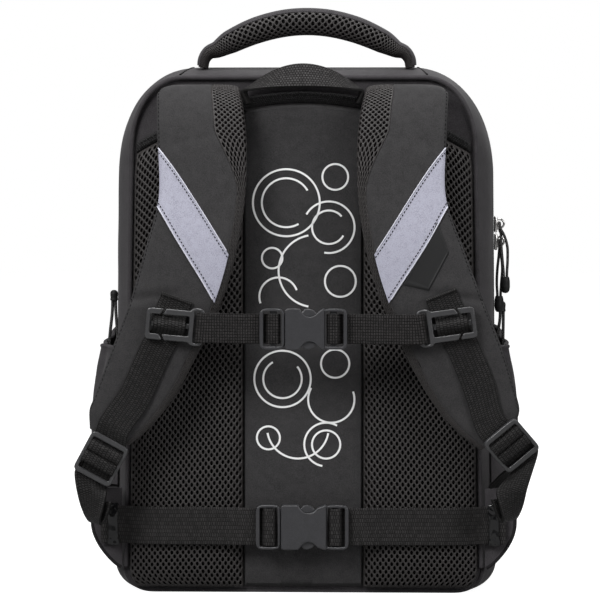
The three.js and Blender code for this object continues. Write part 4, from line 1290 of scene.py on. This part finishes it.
        net = open_net(f"{self.side.label}_strap_net", lambda u, v: surface(v, u), 9, 66, STRAP_BACK)
        dress(net, NET_CLOTH)

    def band_place(self, across: Values, down: Values) -> tuple[Values, Values]:
        """Gives run and width on the slanted reflective strip."""
        outer = lerp(self.outer_high, self.outer_low, down)
        inner = lerp(self.inner_high, self.inner_low, down)
        return lerp(outer, inner, across), lerp(0.985, -0.865, across)

    def build_reflector(self) -> None:
        """Builds the reflective strip with its bright edges and its stitches."""
        label = self.side.label

        def surface(u: Values, v: Values) -> Points:
            """Gives the strip's face."""
            return self.on_face(*self.band_place(u, v), 0.75)

        strip = cloth_panel(f"{label}_reflective_strip", surface, 60, 10, 0.6, STRAP_BACK)
        dress(strip, REFLECTIVE, f"{label}_reflector")
        across = np.linspace(0.0, 1.0, 80)
        trims = []
        rows = []
        for edge, inside in ((0.0, 0.075), (1.0, 0.925)):
            run, width = self.band_place(across, np.full_like(across, edge))
            trims.append(tube("reflective_edge", self.on_face(run, width, 0.8)[::4], 0.55, 60, 6))
            run, width = self.band_place(across, np.full_like(across, inside))
            line = self.on_face(run, width, 0.85)
            rows.append(stitch_row("reflective_stitch", line, self.frame(run)[2], REFLECTOR_STITCH))
        dress(joined(f"{label}_reflective_edges", trims), REFLECTIVE_EDGE)
        dress(joined(f"{label}_reflective_stitches", rows), THREAD)

    def build_patch(self) -> None:
        """Builds the bare moulded rubber patch with its raised rim."""

        def surface(u: Values, v: Values) -> Points:
            """Gives the patch's face."""
            width = lerp(self.patch_left * (1 - v), self.patch_right, u)
            run = self.patch_from + self.patch_height * v + self.patch_slant * width
            return self.on_face(run, width, 0.9)

        def rim(u: Values, v: Values) -> Values:
            """Raises the patch's rim."""
            inside = np.minimum(np.minimum(u, 1 - u) * 22, np.minimum(v, 1 - v) * 22)
            return 0.35 * ease(inside, 1.1, 1.8) + 0.5 * (1 - ease(inside, 0.0, 0.7))

        patch = cloth_panel("rubber_patch_moulding", surface, 48, 48, 0.9, STRAP_BACK, rim)
        dress(patch, RUBBER, "rubber_patch")


# Webbing and moulded hardware


def web(name: str, places: Points, halves: Points, thickness: float = 1.5, pitch: float = 0.9) -> Piece:
    """Makes flat webbing along stations, with its map in true lengths.

    Args:
        name: Name of the piece.
        places: Middle of the web at each station.
        halves: Half-width vector at each station.
        thickness: Thickness of the web.
        pitch: Length of one face.

    Returns:
        The closed web with rounded edges.
    """
    fine = np.linspace(0, 1, 40 * len(places))
    run = run_along(smooth_curve(places, fine))

    def surface(u: Values, v: Values) -> Points:
        """Gives the web's middle sheet."""
        spot = np.interp(u * run[-1], run, fine)
        return smooth_curve(places, spot) + smooth_curve(halves, spot) * (2 * v - 1)[:, None]

    piece = flat_grid(name, round(run[-1] / pitch), 8)
    lay_on(piece, surface)
    thicken(piece, thickness)
    round_edges(piece, 0.45, 2, 60.0)
    shade(piece, 60.0)
    return piece


def moulded(name: str, node: str, grain: float = 0.5) -> Piece:
    """Takes a moulded piece's shape from its CAD node and rounds its edges.

    Args:
        name: Name of the piece.
        node: The CAD node.
        grain: Size of its faces in millimetres, on which the rounding depends.

    Returns:
        The rounded piece.
    """
    piece = placed(name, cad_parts[node].data.copy())
    in_edit_mode(piece, lambda: bpy.ops.mesh.remove_doubles(threshold=WELD))
    finish_with(piece, "REMESH", mode="VOXEL", voxel_size=grain * MM)
    finish_with(piece, "SMOOTH", factor=0.5, iterations=9)
    finish_with(piece, "DECIMATE", ratio=0.3)
    shade(piece, 180.0)
    return piece


@dataclass
class Buckle:
    """A side-release buckle: a plug on the left and a socket on the right."""

    prefix: str
    centre: tuple[float, float, float]
    length: float
    web_half: float
    thread: tuple[tuple[float, float], ...] = (
        (-4, -2.6), (4, -2.6), (6.5, 1), (7.6, 2.3), (10.5, 2.5), (13.4, 2.3), (14.6, 0.4), (15.4, -2.4))

    def web_end(self, side: Side) -> Points:
        """Gives the way of the webbing into one half: behind the rim, over the bar and back."""
        x, y, z = self.centre
        ends = [[x + side.value * (self.length / 2 - inside), y - depth, z] for inside, depth in self.thread]
        return np.array(ends)

    def build(self) -> None:
        """Builds and dresses both halves."""
        for half in ("plug", "socket"):
            node = f"{self.prefix}_{half}"
            dress(moulded(f"{node}_moulding", node), PLASTIC, node)


STERNUM = Buckle("sternum", (2.0, -59.2, 215.5), 67.0, 11.4)
HIP = Buckle("hip", (0.0, -25.0, 60.0), 72.0, 14.6)


@dataclass
class Harness:
    """The webbing and hardware of one side."""

    strap: ShoulderStrap
    half: float = 12.5
    lock_web: float = 13.6
    web_from: float = 0.633
    web_height: float = 7.35
    rise: float = 6.6
    bump: float = 6.0
    turn: float = 10.0
    clip_end: float = 20.5
    clip_y: float = -59.2
    clip_z: float = 218.0
    window: float = 6.0
    lock_half: float = 17.0
    upper_bar: tuple[tuple[float, float], ...] = (
        (13, -3.2), (10.5, -1.2), (9.7, 1.4), (8.8, 2.6), (6.3, 2.9), (3.8, 2.6), (2.5, 1.4), (2.2, -1.4),
        (4.6, -3.2), (6.8, -3.4))
    lower_bar: tuple[tuple[float, float], ...] = (
        (-20, -12), (-12, -6.8), (-4, -4.2), (0.5, -2.2), (0.7, 1.4), (-0.6, 2.6), (-3.7, 2.9), (-6.2, 2.6),
        (-7.1, 1.2), (-8.4, -1.4), (-12, -3.1), (-19, -3.3))
    tail_fold: tuple[tuple[float, float, float, float], ...] = (
        (24, 0, -49, 22), (12, 0, -47.5, 45), (4, 0.6, -46, 60), (0.9, 2.2, -44.6, 64), (3.5, 4.2, -43.4, 62),
        (10, 5.4, -43.6, 52), (18, 6, -45, 40))
    tail_x: float = 161.0
    keeper_x: float = 148.5
    keeper_half: tuple[float, float, float] = (4.0, 2.5, 16.2)
    wing_top: tuple[float, float, float] = (157.0, -3.6, 89.5)
    wing_across: tuple[float, float] = (141.8, 165.0)
    wing_heights: tuple[float, float] = (26.0, 88.0)
    belt_route: tuple[tuple[float, float], ...] = (
        (158, -8.3), (146, -8.3), (139, -9.5), (131, -13), (122, -16.8), (108, -18.6), (88, -19), (62, -19.4),
        (48, -21.6))
    post_wrap: tuple[tuple[float, float], ...] = (
        (33, 3.4), (26, 3.4), (19.5, 3.4), (17.2, 3.35), (15.5, 2.3), (15, 0), (15.5, -2.3), (17.2, -3.35),
        (19.5, -3.4), (28, -3.1))

    def __post_init__(self) -> None:
        """Lays out the own axes of the ladder lock and the clip."""
        self.side = self.strap.side
        self.sizes = SIZES[self.side]
        sign = self.side.value
        lean = math.radians(self.sizes.lock_lean)
        pitch = math.radians(self.sizes.lock_pitch)
        rise = np.array([-sign * math.sin(lean), 0.0, math.cos(lean)])
        self.across = np.array([math.cos(lean), 0.0, sign * math.sin(lean)])
        self.up = rise * math.cos(pitch) + np.array([0.0, -math.sin(pitch), 0.0])
        self.out = rise * -math.sin(pitch) + np.array([0.0, -math.cos(pitch), 0.0])
        x, y, z = self.sizes.lock_place
        self.centre = np.array([sign * x, y, z]) + (rise - self.up) * self.lock_half
        lean = math.radians(self.sizes.clip_lean)
        self.clip_out = np.array([sign * math.cos(lean), 0.0, math.sin(lean)])
        self.clip_up = np.array([-sign * math.sin(lean), 0.0, math.cos(lean)])
        self.clip_centre = np.array([sign * self.sizes.clip_x, self.clip_y, self.clip_z])

    def at_lock(self, rows: Sequence[tuple[float, float]]) -> Points:
        """Gives places by their height and depth on the ladder lock."""
        return np.array([self.centre + self.up * height + self.out * depth for height, depth in rows])

    def build(self) -> None:
        """Builds and dresses the side's webbing and hardware."""
        label = self.side.label
        self.build_strap_web()
        self.build_adjuster()
        self.build_sternum_web()
        self.build_belt()
        dress(moulded(f"{label}_lock_moulding", f"{label}_ladder_lock"), DARK_PLASTIC, f"{label}_ladder_lock")
        dress(moulded(f"{label}_clip_moulding", f"{label}_clip"), DARK_PLASTIC, f"{label}_clip")
        self.build_keeper()
        self.build_wing()

    def build_strap_web(self) -> None:
        """Builds the strap's webbing: sewn on, lifted in the clip and looped round the lock's upper bar."""
        sign = self.side.value
        runs = np.concatenate([[self.web_from], np.linspace(0.65, 0.722, 14), np.linspace(0.76, 0.955, 7)])
        middle, half, normal = self.strap.frame(runs)
        along = unit(self.strap.frame(runs + 2e-3)[0] - self.strap.frame(runs - 2e-3)[0])
        square = unit(half - along * (half * along).sum(axis=1, keepdims=True))
        blend = ease(runs, 0.78, 0.95)[:, None]
        height = self.web_height + blend * 1.5
        places = middle + normal * height + square * self.sizes.web_shift * (1 - blend)
        from_clip = places - self.clip_centre - self.clip_out * self.window
        above = (from_clip @ self.clip_up)[:, None]
        turned = np.exp(-((above / self.turn) ** 2))
        places = places - self.clip_out * (from_clip @ self.clip_out)[:, None] * turned
        places = places + normal * self.rise * np.exp(-((above / self.bump) ** 2))
        halves = unit(lerp(lerp(square, self.clip_out, turned), self.across * sign, blend)) * self.half
        loop = self.at_lock(self.upper_bar)
        every = np.vstack([places, loop])
        wide = np.vstack([halves, np.tile(self.across * sign * self.lock_web, (len(loop), 1))])
        label = self.side.label
        dress(web(f"{label}_strap_webbing", every, wide), WEBBING, f"{label}_strap_web")
        fold = np.linspace(-1, 1, 7)[:, None] * halves[0] * 0.98 + places[0] + normal[0] * 0.5
        dress(tube(f"{label}_web_fold", fold, 1.5, 24, 10), WEBBING)

    def build_adjuster(self) -> None:
        """Builds the adjuster webbing from the wing over the lock's lower bar, with its folded tail."""
        sign = self.side.value
        loop = self.at_lock(self.lower_bar)
        start = np.array([sign * self.wing_top[0], self.wing_top[1], self.wing_top[2]])
        part = np.linspace(0, 1, 5)[:-1]
        anchor = lerp(start, loop[0], part[:, None])
        anchor[:, 1] = lerp(start[1], loop[0][1], part**0.8)
        anchor[:, 2] += 6 * part * (1 - part)
        rise, inwards, depth, twist = np.array(self.tail_fold, float).T
        tail = np.stack([sign * (self.tail_x - inwards), depth, self.sizes.tail_z + rise], axis=1)
        turn = np.radians(twist)
        twisted = np.stack([sign * np.cos(turn), np.sin(turn), 0 * turn], axis=1) * self.half
        level = np.array([sign * self.half, 0.0, 0.0])
        slanted = self.across * sign * self.lock_web
        halves = np.vstack([lerp(level, slanted, part[:, None]), np.tile(slanted, (len(loop), 1)), twisted])
        label = self.side.label
        piece = web(f"{label}_adjuster_webbing", np.vstack([anchor, loop, tail]), halves)
        dress(piece, WEBBING, f"{label}_adjuster_web")

    def build_sternum_web(self) -> None:
        """Builds the sternum webbing, round the clip's post and into its half of the buckle."""
        sign = self.side.value
        _, y, z = STERNUM.centre
        reach, back = np.array(self.post_wrap, float).T
        on_post = np.minimum(reach, self.clip_end)[:, None]
        loop = self.clip_centre - self.clip_out * on_post
        loop = loop + np.stack([-sign * (reach - on_post[:, 0]), back, 0 * back], axis=1)
        places = np.vstack([loop, [[sign * 44, y + 2.2, z]], STERNUM.web_end(self.side)])
        halves = np.tile([0.0, 0.0, STERNUM.web_half], (len(places), 1))
        halves[:len(loop)][reach <= self.clip_end] = self.clip_up * STERNUM.web_half
        label = self.side.label
        dress(web(f"{label}_sternum_webbing", places, halves), LADDER_WEBBING, f"{label}_sternum_web")

    def build_belt(self) -> None:
        """Builds the hip belt's webbing from the wing to the buckle."""
        sign = self.side.value
        route = [[sign * x, y, HIP.centre[2]] for x, y in self.belt_route]
        places = np.vstack([route, HIP.web_end(self.side)])
        halves = np.tile([0.0, 0.0, HIP.web_half], (len(places), 1))
        label = self.side.label
        dress(web(f"{label}_belt_webbing", places, halves), BELT_WEBBING, f"{label}_belt_web")

    def build_keeper(self) -> None:
        """Builds the crumpled film loop that holds the belt's end."""
        label = self.side.label
        centre = np.array([self.side.value * self.keeper_x, self.belt_route[0][1], HIP.centre[2]])

        def surface(u: Values, v: Values) -> Points:
            """Gives the film, bent round the belt."""
            turn = v * 2 * math.pi
            half_wide, half_deep, half_tall = self.keeper_half
            deep = half_deep * signed_power(np.cos(turn), 0.35)
            tall = half_tall * signed_power(np.sin(turn), 0.6)
            wide = half_wide * (2 * u - 1) * (1 + 0.12 * np.sin(3 * turn + 1.2)) + 0.5 * np.sin(2 * turn)
            return centre + np.stack([wide, deep, tall], axis=-1)

        def dents(u: Values, v: Values) -> Values:
            """Crumples the film."""
            places = surface(u, v)
            return 0.55 * soft_noise(places, 11.0, 2.6) + 0.3 * soft_noise(places, 5.0, 7.7)

        film = flat_grid(f"{label}_keeper_film", 24, 90)
        lay_on(film, surface, dents)
        in_edit_mode(film, lambda: bpy.ops.mesh.remove_doubles(threshold=WELD))
        face_away(film, centre)
        thicken(film, 0.4)
        shade(film, 40.0)
        dress(film, FILM, f"{label}_keeper")

    def build_wing(self) -> None:
        """Builds the cloth wing that anchors the webbing, with its welted edge."""
        sign = self.side.value
        label = self.side.label
        inner, outer = self.wing_across

        def rim(climb: Values) -> Values:
            """Gives the wing's outer edge by height."""
            spread = np.sin(np.clip(climb / 0.58, 0, 1) * math.pi / 2) ** 0.8
            return lerp(inner + 1.0, outer, spread) - ease(climb, 0.6, 1)

        def surface(u: Values, v: Values) -> Points:
            """Gives the wing's face, slightly cupped."""
            x = lerp(inner, rim(v), u)
            y = -3.9 - 0.9 * np.sin(math.pi * v) * u
            return np.stack([sign * x, y, lerp(*self.wing_heights, v)], axis=-1)

        wing = cloth_panel(f"{label}_wing_cloth", surface, 20, 40, 2.0, np.array([sign * 150.0, 60.0, 60.0]))
        dress(wing, SHELL_CLOTH, f"{label}_wing")
        v = np.linspace(0.0, 1.0, 24)
        edge = surface(np.ones_like(v), v)
        # The welt is real; its near-black cloth is painted shade along the wing's edge.
        dress(tube(f"{label}_wing_welt", edge + [0, 0.8, 0], 1.5, 60, 8), SEAM_SHADE_CLOTH)


# Handle and hang loop


@dataclass
class TopLoops:
    """The padded carry handle and the webbing hang loop."""

    handle_y: float = 25.0
    handle_centre: float = 1.75
    spans: tuple[float, ...] = (81.6, 80.3, 76.5, 70, 60, 38, 13)
    heights: tuple[float, ...] = (416.6, 423.4, 428.3, 430.8, 436.5, 446, 451.6)
    halves: tuple[float, ...] = (4.2, 4.6, 5.3, 6.6, 9, 10.2, 10.5)
    depths: tuple[float, ...] = (10, 11, 12, 13, 13, 13, 13)
    loop_low: tuple[float, float, float] = (46.5, -22.0, 397.5)
    low_crown: tuple[float, float, float] = (0.0, 0.0, 3.0)
    low_leg: tuple[float, float, float] = (43.5, -19.0, 387.5)
    loop_high: tuple[float, float, float] = (44.0, -4.2, 398.5)
    high_crown: tuple[float, float, float] = (0.0, -8.0, 20.0)
    high_leg: tuple[float, float, float] = (41.5, -4.2, 388.0)
    loop_thickness: float = 2.2

    def __post_init__(self) -> None:
        """Lays out the handle from its left foot to its right foot."""
        order = [*range(len(self.spans)), *reversed(range(len(self.spans)))]
        signs = [-1] * len(self.spans) + [1] * len(self.spans)
        self.route = np.array([[self.handle_centre + sign * self.spans[k], self.handle_y, self.heights[k]]
                               for k, sign in zip(order, signs)])
        self.size = np.array([[self.halves[k], self.depths[k], 0.0] for k in order])

    def skin(self, u: Values, turn: Values, lift: float) -> Points:
        """Gives a place on the handle.

        Args:
            u: Share of the way along.
            turn: Angle round it, a quarter turn at the crest.
            lift: Height above the padding.

        Returns:
            The places.
        """
        centre = smooth_curve(self.route, u)
        along = unit(smooth_curve(self.route, u + 2e-3) - smooth_curve(self.route, u - 2e-3))
        up = np.stack([-along[:, 2], 0 * u, along[:, 0]], axis=1)
        size = smooth_curve(self.size, u)
        rise = (size[:, 0] + lift) * signed_power(np.sin(turn), 0.85)
        deep = (size[:, 1] - 1.0 + lift) * signed_power(np.cos(turn), 0.85)
        return centre + up * rise[:, None] + np.stack([0 * u, deep, 0 * u], axis=1)

    def build(self) -> None:
        """Builds and dresses handle and loop."""
        # Near-black foam: painted shade where it shows through the net.
        body = flat_grid("handle_foam", 120, 36)
        lay_on(body, lambda u, v: self.skin(u, v * 2 * math.pi, -1.4))
        close_up(body)
        dress(body, FOAM_AND_HOLE_SHADE, "handle")
        middle = np.array([0.0, self.handle_y, 430.0])

        def lining(u: Values, v: Values) -> Points:
            """Gives the mesh round the handle's underside."""
            return self.skin(u, (0.74 + v * 1.52) * math.pi, -0.6)

        dress(open_net("handle_net", lining, 66, 10, middle), NET_CLOTH)

        def strip(u: Values, v: Values) -> Points:
            """Gives the facing on the crest, wider towards the feet."""
            reach = 0.27 + 0.1 * (2 * u - 1) ** 2
            return self.skin(lerp(0.015, 0.985, u), (0.5 + reach * (2 * v - 1)) * math.pi, 0.5)

        facing = cloth_panel("handle_facing_cloth", strip, 120, 16, 1.0, middle)
        dress(facing, SHELL_CLOTH, "handle_facing")
        self.build_loop()

    def build_loop(self) -> None:
        """Builds the hang loop, which stands up in the middle and turns flat to its sewn legs."""
        part = np.linspace(-1, 1, 15)[:, None]
        mirror = np.hstack([part, np.ones((len(part), 2))])
        edges = []
        for edge, crown, leg in ((self.loop_low, self.low_crown, self.low_leg),
                                 (self.loop_high, self.high_crown, self.high_leg)):
            arch = mirror * edge + (1 - part**2) * crown
            edges.append(np.vstack([mirror[0] * leg, arch, leg]))
        low, high = edges
        loop = web("hang_loop_webbing", (low + high) / 2, (high - low) / 2, self.loop_thickness)
        dress(loop, LOOP_WEBBING, "hang_loop")


# Side pockets, sliders and cords


@dataclass
class SidePocket:
    """A gathered side pocket with its draw cord."""

    side: Side
    shell: BagShell
    back: float = 16.0
    front: float = 122.0
    low: float = 30.0
    high: float = 197.0
    ripples: float = 3.5
    ripple: float = 1.6
    cloth: float = 1.4
    rim_lift: float = 13.0
    cord: float = 1.3
    parts: tuple[float, ...] = (0, 0.2, 0.55, 0.85, 1)
    swells: tuple[float, ...] = (0.03, 0.7, 1, 0.76, 0.5)
    draw_y: float = 80.0
    draw_low: float = 195.0
    draw_inner: float = 152.4
    draw_half: float = 1.25
    sleeve: float = 8.5
    sleeve_wall: float = 0.6
    sleeve_radius: float = 3.2
    sleeve_profile: tuple[tuple[float, float], ...] = (
        (-8.5, 0.9), (-8.1, 1.0), (-6, 0.92), (-3, 1.0), (-1.4, 0.9), (-0.3, 0.55), (0, 0.1))

    def surface(self, u: Values, v: Values) -> Points:
        """Gives the pocket's inner face."""
        y = lerp(self.back, self.front, u)
        z = lerp(self.low, self.high, v) + self.rim_lift * ease(u, 0.5, 0.95) * v**3
        base, shoulder, top, _, rise = self.shell.section(y)
        climb = np.clip((z - self.shell.foot_rise) / (top - rise - self.shell.foot_rise), 0, 1)
        arc = np.sin(math.pi * u) ** 0.7
        fold = self.ripple * np.cos(2 * math.pi * self.ripples * u) * v * arc
        bulge = SIZES[self.side].pocket_bulge * hermite(self.parts, self.swells, v) * arc + fold
        crumple = 0.8 * np.sin(14 * u + 9 * v) * np.sin(5 * v + 3) * arc * v
        pleats = 1.5 * np.sin(40 * u + 9 * v) * ease(v, 0.5, 0.85) * (1 - 0.5 * ease(v, 0.9, 1.0)) * arc
        x = lerp(base, shoulder, climb) + 0.8 + bulge + crumple + pleats
        return np.stack([self.side.value * x, y, z], axis=-1)

    def build(self) -> None:
        """Builds and dresses the pocket and its cord."""
        label = self.side.label
        wall = flat_grid(f"{label}_pocket_cloth", 70, 60)
        lay_on(wall, self.surface)
        face_away(wall, np.array([0.0, 70.0, 100.0]))
        thicken(wall, self.cloth, offset=1.0)
        shade(wall)
        dress(wall, SHELL_CLOTH, f"{label}_pocket")
        u = np.linspace(0.01, 0.99, 60)
        hem_line = self.surface(u, np.ones_like(u)) + [self.side.value * 0.9, 0, -0.6]
        hem = tube(f"{label}_pocket_hem", hem_line, 1.6, 150, 10)
        dress(hem, SHELL_CLOTH)
        self.build_cord()

    def draw_route(self) -> Points:
        """Gives the draw cord's way: up from the bag, round its bend and down to the hem.

        Returns:
            Points of its middle line.
        """
        sizes = SIZES[self.side]
        crest = sizes.draw_top - self.sleeve_wall - 0.3 - self.cord
        forwards = np.array([(self.draw_y - self.back) / (self.front - self.back)])
        hem = abs(float(self.surface(forwards, np.ones(1))[0, 0])) - 0.4 - self.cord
        part = np.linspace(0, 1, 7)
        rise = lerp(self.draw_low, crest - self.draw_half, part)
        near = ease(part, 0, 0.8)
        up = np.stack([lerp(self.draw_inner, sizes.draw_x - self.draw_half, near), rise], axis=1)
        down = np.stack([lerp(hem, sizes.draw_x + self.draw_half, near), rise], axis=1)[::-1]
        turn = np.radians([135, 90, 45])
        bend = np.stack([np.cos(turn), np.sin(turn)], axis=1) * self.draw_half
        bend = bend + [sizes.draw_x, crest - self.draw_half]
        across, height = np.vstack([up, bend, down]).T
        return np.stack([self.side.value * across, 0 * across + self.draw_y, height], axis=1)

    def build_cord(self) -> None:
        """Builds the draw cord's loop with the rubber end on its bend."""
        label = self.side.label
        sizes = SIZES[self.side]
        route = self.draw_route()
        line = smooth_curve(route, np.linspace(0, 1, 121))
        cord = dress(tube(f"{label}_draw_cord", route, self.cord, 120, 10), BRAID, f"{label}_pocket_cord")
        at = np.linspace(-self.sleeve, 0, 41)
        swell = np.interp(at, *np.array(self.sleeve_profile).T)
        stem = np.array([[self.side.value * sizes.draw_x, self.draw_y, sizes.draw_top + rise] for rise in at])
        sleeve = tube(f"{label}_sleeve_rubber", stem, swell * self.sleeve_radius, 40, 14)
        dress(sleeve, RUBBER, f"{label}_cord_sleeve")
        length = float(run_along(line)[-1]) * MM
        to_row(route[0])
        to_row(line)


@dataclass
class ZipPull:
    """A zip slider with its ring, cord loop and rubber grip."""

    name: str
    ring_z: float
    grip: tuple[float, float, float]
    route: tuple[tuple[float, float, float], ...]
    slider_y: float = 60.0
    ring: float = 3.55
    wire: float = 0.85
    cord: float = 1.1
    grip_profile: tuple[tuple[float, float], ...] = (
        (-7, 0.4), (-6.7, 2.0), (-5, 3.3), (-2, 3.8), (3, 3.7), (6, 3.0))

    def build(self, shell: BagShell) -> None:
        """Builds and dresses the slider, cord and grip.

        Args:
            shell: The bag that the slider runs on.
        """
        surface = float(shell.half_width(self.slider_y, np.array(self.ring_z))) + 0.3
        self.build_slider(surface)
        at = np.linspace(self.grip_profile[0][0], self.grip_profile[-1][0], 27)
        swell = np.interp(at, *np.array(self.grip_profile).T)
        x, y, z = self.grip
        stem = np.array([[x, y, z + rise] for rise in at])
        grip = dress(tube(f"{self.name}_grip_rubber", stem, swell, 26, 14), RUBBER, f"{self.name}_pull_grip")
        route = np.array(self.route)
        line = smooth_curve(route, np.linspace(0, 1, 161))
        braid = tube(f"{self.name}_pull_braid", route, self.cord, 160, 8)
        cord = dress(braid, BRAID, f"{self.name}_pull_cord")
        length = float(run_along(line)[-1]) * MM
        to_row(route[0])
        to_row(line)

    def build_slider(self, surface: float) -> None:
        """Builds the nickel slider: body, bridge and ring.

        Args:
            surface: Distance of the zip from the middle of the bag.
        """
        parts = []
        blocks = (((1.3, 0, -0.5), (1.3, 3.8, 6.5), 1.0), ((3.0, 0, -0.5), (0.7, 1.5, 4.4), 0.6))
        for (x, y, z), (half_x, half_y, half_z), rounding in blocks:
            bpy.ops.object.select_all(action="DESELECT")
            place = to_row(np.array([surface + x, self.slider_y + y, self.ring_z + z]))
            bpy.ops.mesh.primitive_cube_add(size=2 * MM, location=place, scale=(half_x, half_y, half_z))
            bpy.ops.object.transform_apply(location=True, rotation=True, scale=True)
            block = bpy.context.active_object
            round_edges(block, rounding, 3, 30.0)
            parts.append(block)
        bpy.ops.object.select_all(action="DESELECT")
        place = to_row(np.array([surface + self.ring + self.wire, self.slider_y, self.ring_z]))
        bpy.ops.mesh.primitive_torus_add(
            location=place, rotation=(math.pi / 2, 0, 0), major_radius=self.ring * MM,
            minor_radius=self.wire * MM, major_segments=36, minor_segments=12)
        bpy.ops.object.transform_apply(location=True, rotation=True, scale=True)
        parts.append(bpy.context.active_object)
        slider = joined(f"{self.name}_slider_metal", parts)
        shade(slider, 40.0)
        dress(slider, NICKEL, f"{self.name}_slider")


PULLS = (
    ZipPull("upper", 293.5, (158.5, 50, 245.5), (
        (157.25, 50, 248.5), (157.2, 50, 254), (156.4, 50.3, 263), (155.6, 51.5, 272), (155.2, 54.2, 279.8),
        (155.2, 57.4, 284.8), (154.9, 60, 286.4), (154.4, 62.4, 287.6), (154.2, 63.4, 290.4),
        (154.2, 62.4, 293.2), (154.2, 60, 294.3), (154.2, 57.6, 293.2), (154.6, 56.4, 290),
        (157.5, 54.4, 284.5), (160, 52, 276), (160.3, 50.4, 265), (159.8, 50, 255), (159.75, 50, 248.5))),
    ZipPull("lower", 279.5, (154, 67, 229.5), (
        (152.75, 67, 232.5), (152.6, 67, 238), (152.2, 66.6, 246), (152.6, 66, 257), (153.6, 64.6, 267),
        (154.2, 63.4, 275.5), (154.2, 62.4, 279), (154.2, 60, 280.3), (154.2, 57.6, 279),
        (154.2, 56.8, 275.5), (155.4, 58, 268), (156.4, 61, 258), (155.8, 65, 247), (155.3, 66.8, 238),
        (155.25, 67, 232.5))),
)


# Studio


@dataclass
class Studio:
    """Camera, lights and floor."""

    aim: tuple[float, float, float] = (-4.8, 60.0, 232.4)
    distance: float = 2600.0
    lens: float = 195.4
    azimuth: float = 2.0
    elevation: float = 2.5
    floor_size: float = 14.0
    floor_glow: float = 0.95
    sky: float = 0.12
    lamps: tuple[tuple[str, tuple[float, float, float], float, float], ...] = (
        ("key", (-1.3, -2.0, 1.9), 1.1, 62.0), ("fill", (1.7, -1.7, 1.1), 1.1, 19.0),
        ("top_light", (0.1, -0.5, 2.5), 0.8, 42.0), ("back_light", (0.4, 1.9, 1.8), 1.6, 18.0))

    def build(self) -> None:
        """Sets up camera, lights and floor."""
        scene = bpy.context.scene
        a = math.radians(self.azimuth)
        e = math.radians(self.elevation)
        back = Vector((math.sin(a) * math.cos(e), -math.cos(a) * math.cos(e), math.sin(e)))
        camera = placed("camera", bpy.data.cameras.new("camera"))
        camera.data.lens = self.lens
        camera.data.sensor_width = 36.0
        camera.data.clip_end = 100.0
        camera.location = Vector(to_row(np.array(self.aim))) + back * self.distance * MM
        camera.rotation_euler = (-back).to_track_quat("-Z", "Y").to_euler()
        scene.camera = camera
        scene.view_settings.view_transform = "Standard"
        world = bpy.data.worlds.new("studio")
        world.use_nodes = True
        self.paint_sky(world.node_tree)
        scene.world = world
        for lamp in self.lamps:
            self.lamp(*lamp)
        self.build_floor()

    def paint_sky(self, tree: bpy.types.NodeTree) -> None:
        """Makes the backdrop white to the camera and a softer light to the bag."""
        seen = tree.nodes["Background"]
        light = tree.nodes.new("ShaderNodeBackground")
        for node, strength in ((seen, 1.0), (light, self.sky)):
            node.inputs["Color"].default_value = (1.0, 1.0, 1.0, 1.0)
            node.inputs["Strength"].default_value = strength
        mix = tree.nodes.new("ShaderNodeMixShader")
        ray = tree.nodes.new("ShaderNodeLightPath")
        tree.links.new(ray.outputs["Is Camera Ray"], mix.inputs[0])
        tree.links.new(light.outputs["Background"], mix.inputs[1])
        tree.links.new(seen.outputs["Background"], mix.inputs[2])
        tree.links.new(mix.outputs["Shader"], tree.nodes["World Output"].inputs["Surface"])

    def lamp(self, name: str, place: tuple[float, float, float], size: float, power: float) -> None:
        """Hangs one soft square lamp that looks at the bag.

        Args:
            name: Name of the lamp.
            place: Where it hangs, in metres.
            size: Length of its side in metres.
            power: Power in watts.
        """
        lamp = placed(name, bpy.data.lights.new(name, "AREA"))
        lamp.data.size = size
        lamp.data.energy = power
        lamp.location = place
        lamp.rotation_euler = (Vector((0, 0, 0.22)) - Vector(place)).to_track_quat("-Z", "Y").to_euler()

    def build_floor(self) -> None:
        """Lays the pale floor, which the camera sees evenly bright."""
        bpy.ops.object.select_all(action="DESELECT")
        bpy.ops.mesh.primitive_plane_add(size=self.floor_size)
        floor = bpy.context.active_object
        floor.name = "floor"
        recipe = Recipe("floor_paint")
        recipe.shader.inputs["Base Color"].default_value = (0.3, 0.3, 0.3, 1.0)
        recipe.shader.inputs["Roughness"].default_value = 0.9
        recipe.shader.inputs["Emission Color"].default_value = (1.0, 1.0, 1.0, 1.0)
        ray = recipe.node("ShaderNodeLightPath")
        glow = recipe.node("ShaderNodeMath", operation="MULTIPLY")
        glow.inputs[1].default_value = self.floor_glow
        recipe.tree.links.new(ray.outputs["Is Camera Ray"], glow.inputs[0])
        recipe.link(glow, "Value", recipe.shader, "Emission Strength")
        floor.data.materials.append(recipe.material)


def main() -> None:
    """Builds the studio and the backpack, sub-assembly by sub-assembly."""
    logging.basicConfig(level=logging.INFO, format="%(message)s")
    Studio().build()
    shell = BagShell()
    for pull in PULLS:
        pull.build(shell)
    for side in Side:
        SidePocket(side, shell).build()
    shell.build()
    BackPadding(shell).build()
    for side in Side:
        strap = ShoulderStrap(side)
        strap.build()
        Harness(strap).build()
    for buckle in (STERNUM, HIP):
        buckle.build()
    TopLoops().build()


if __name__ == "__main__":
    main()
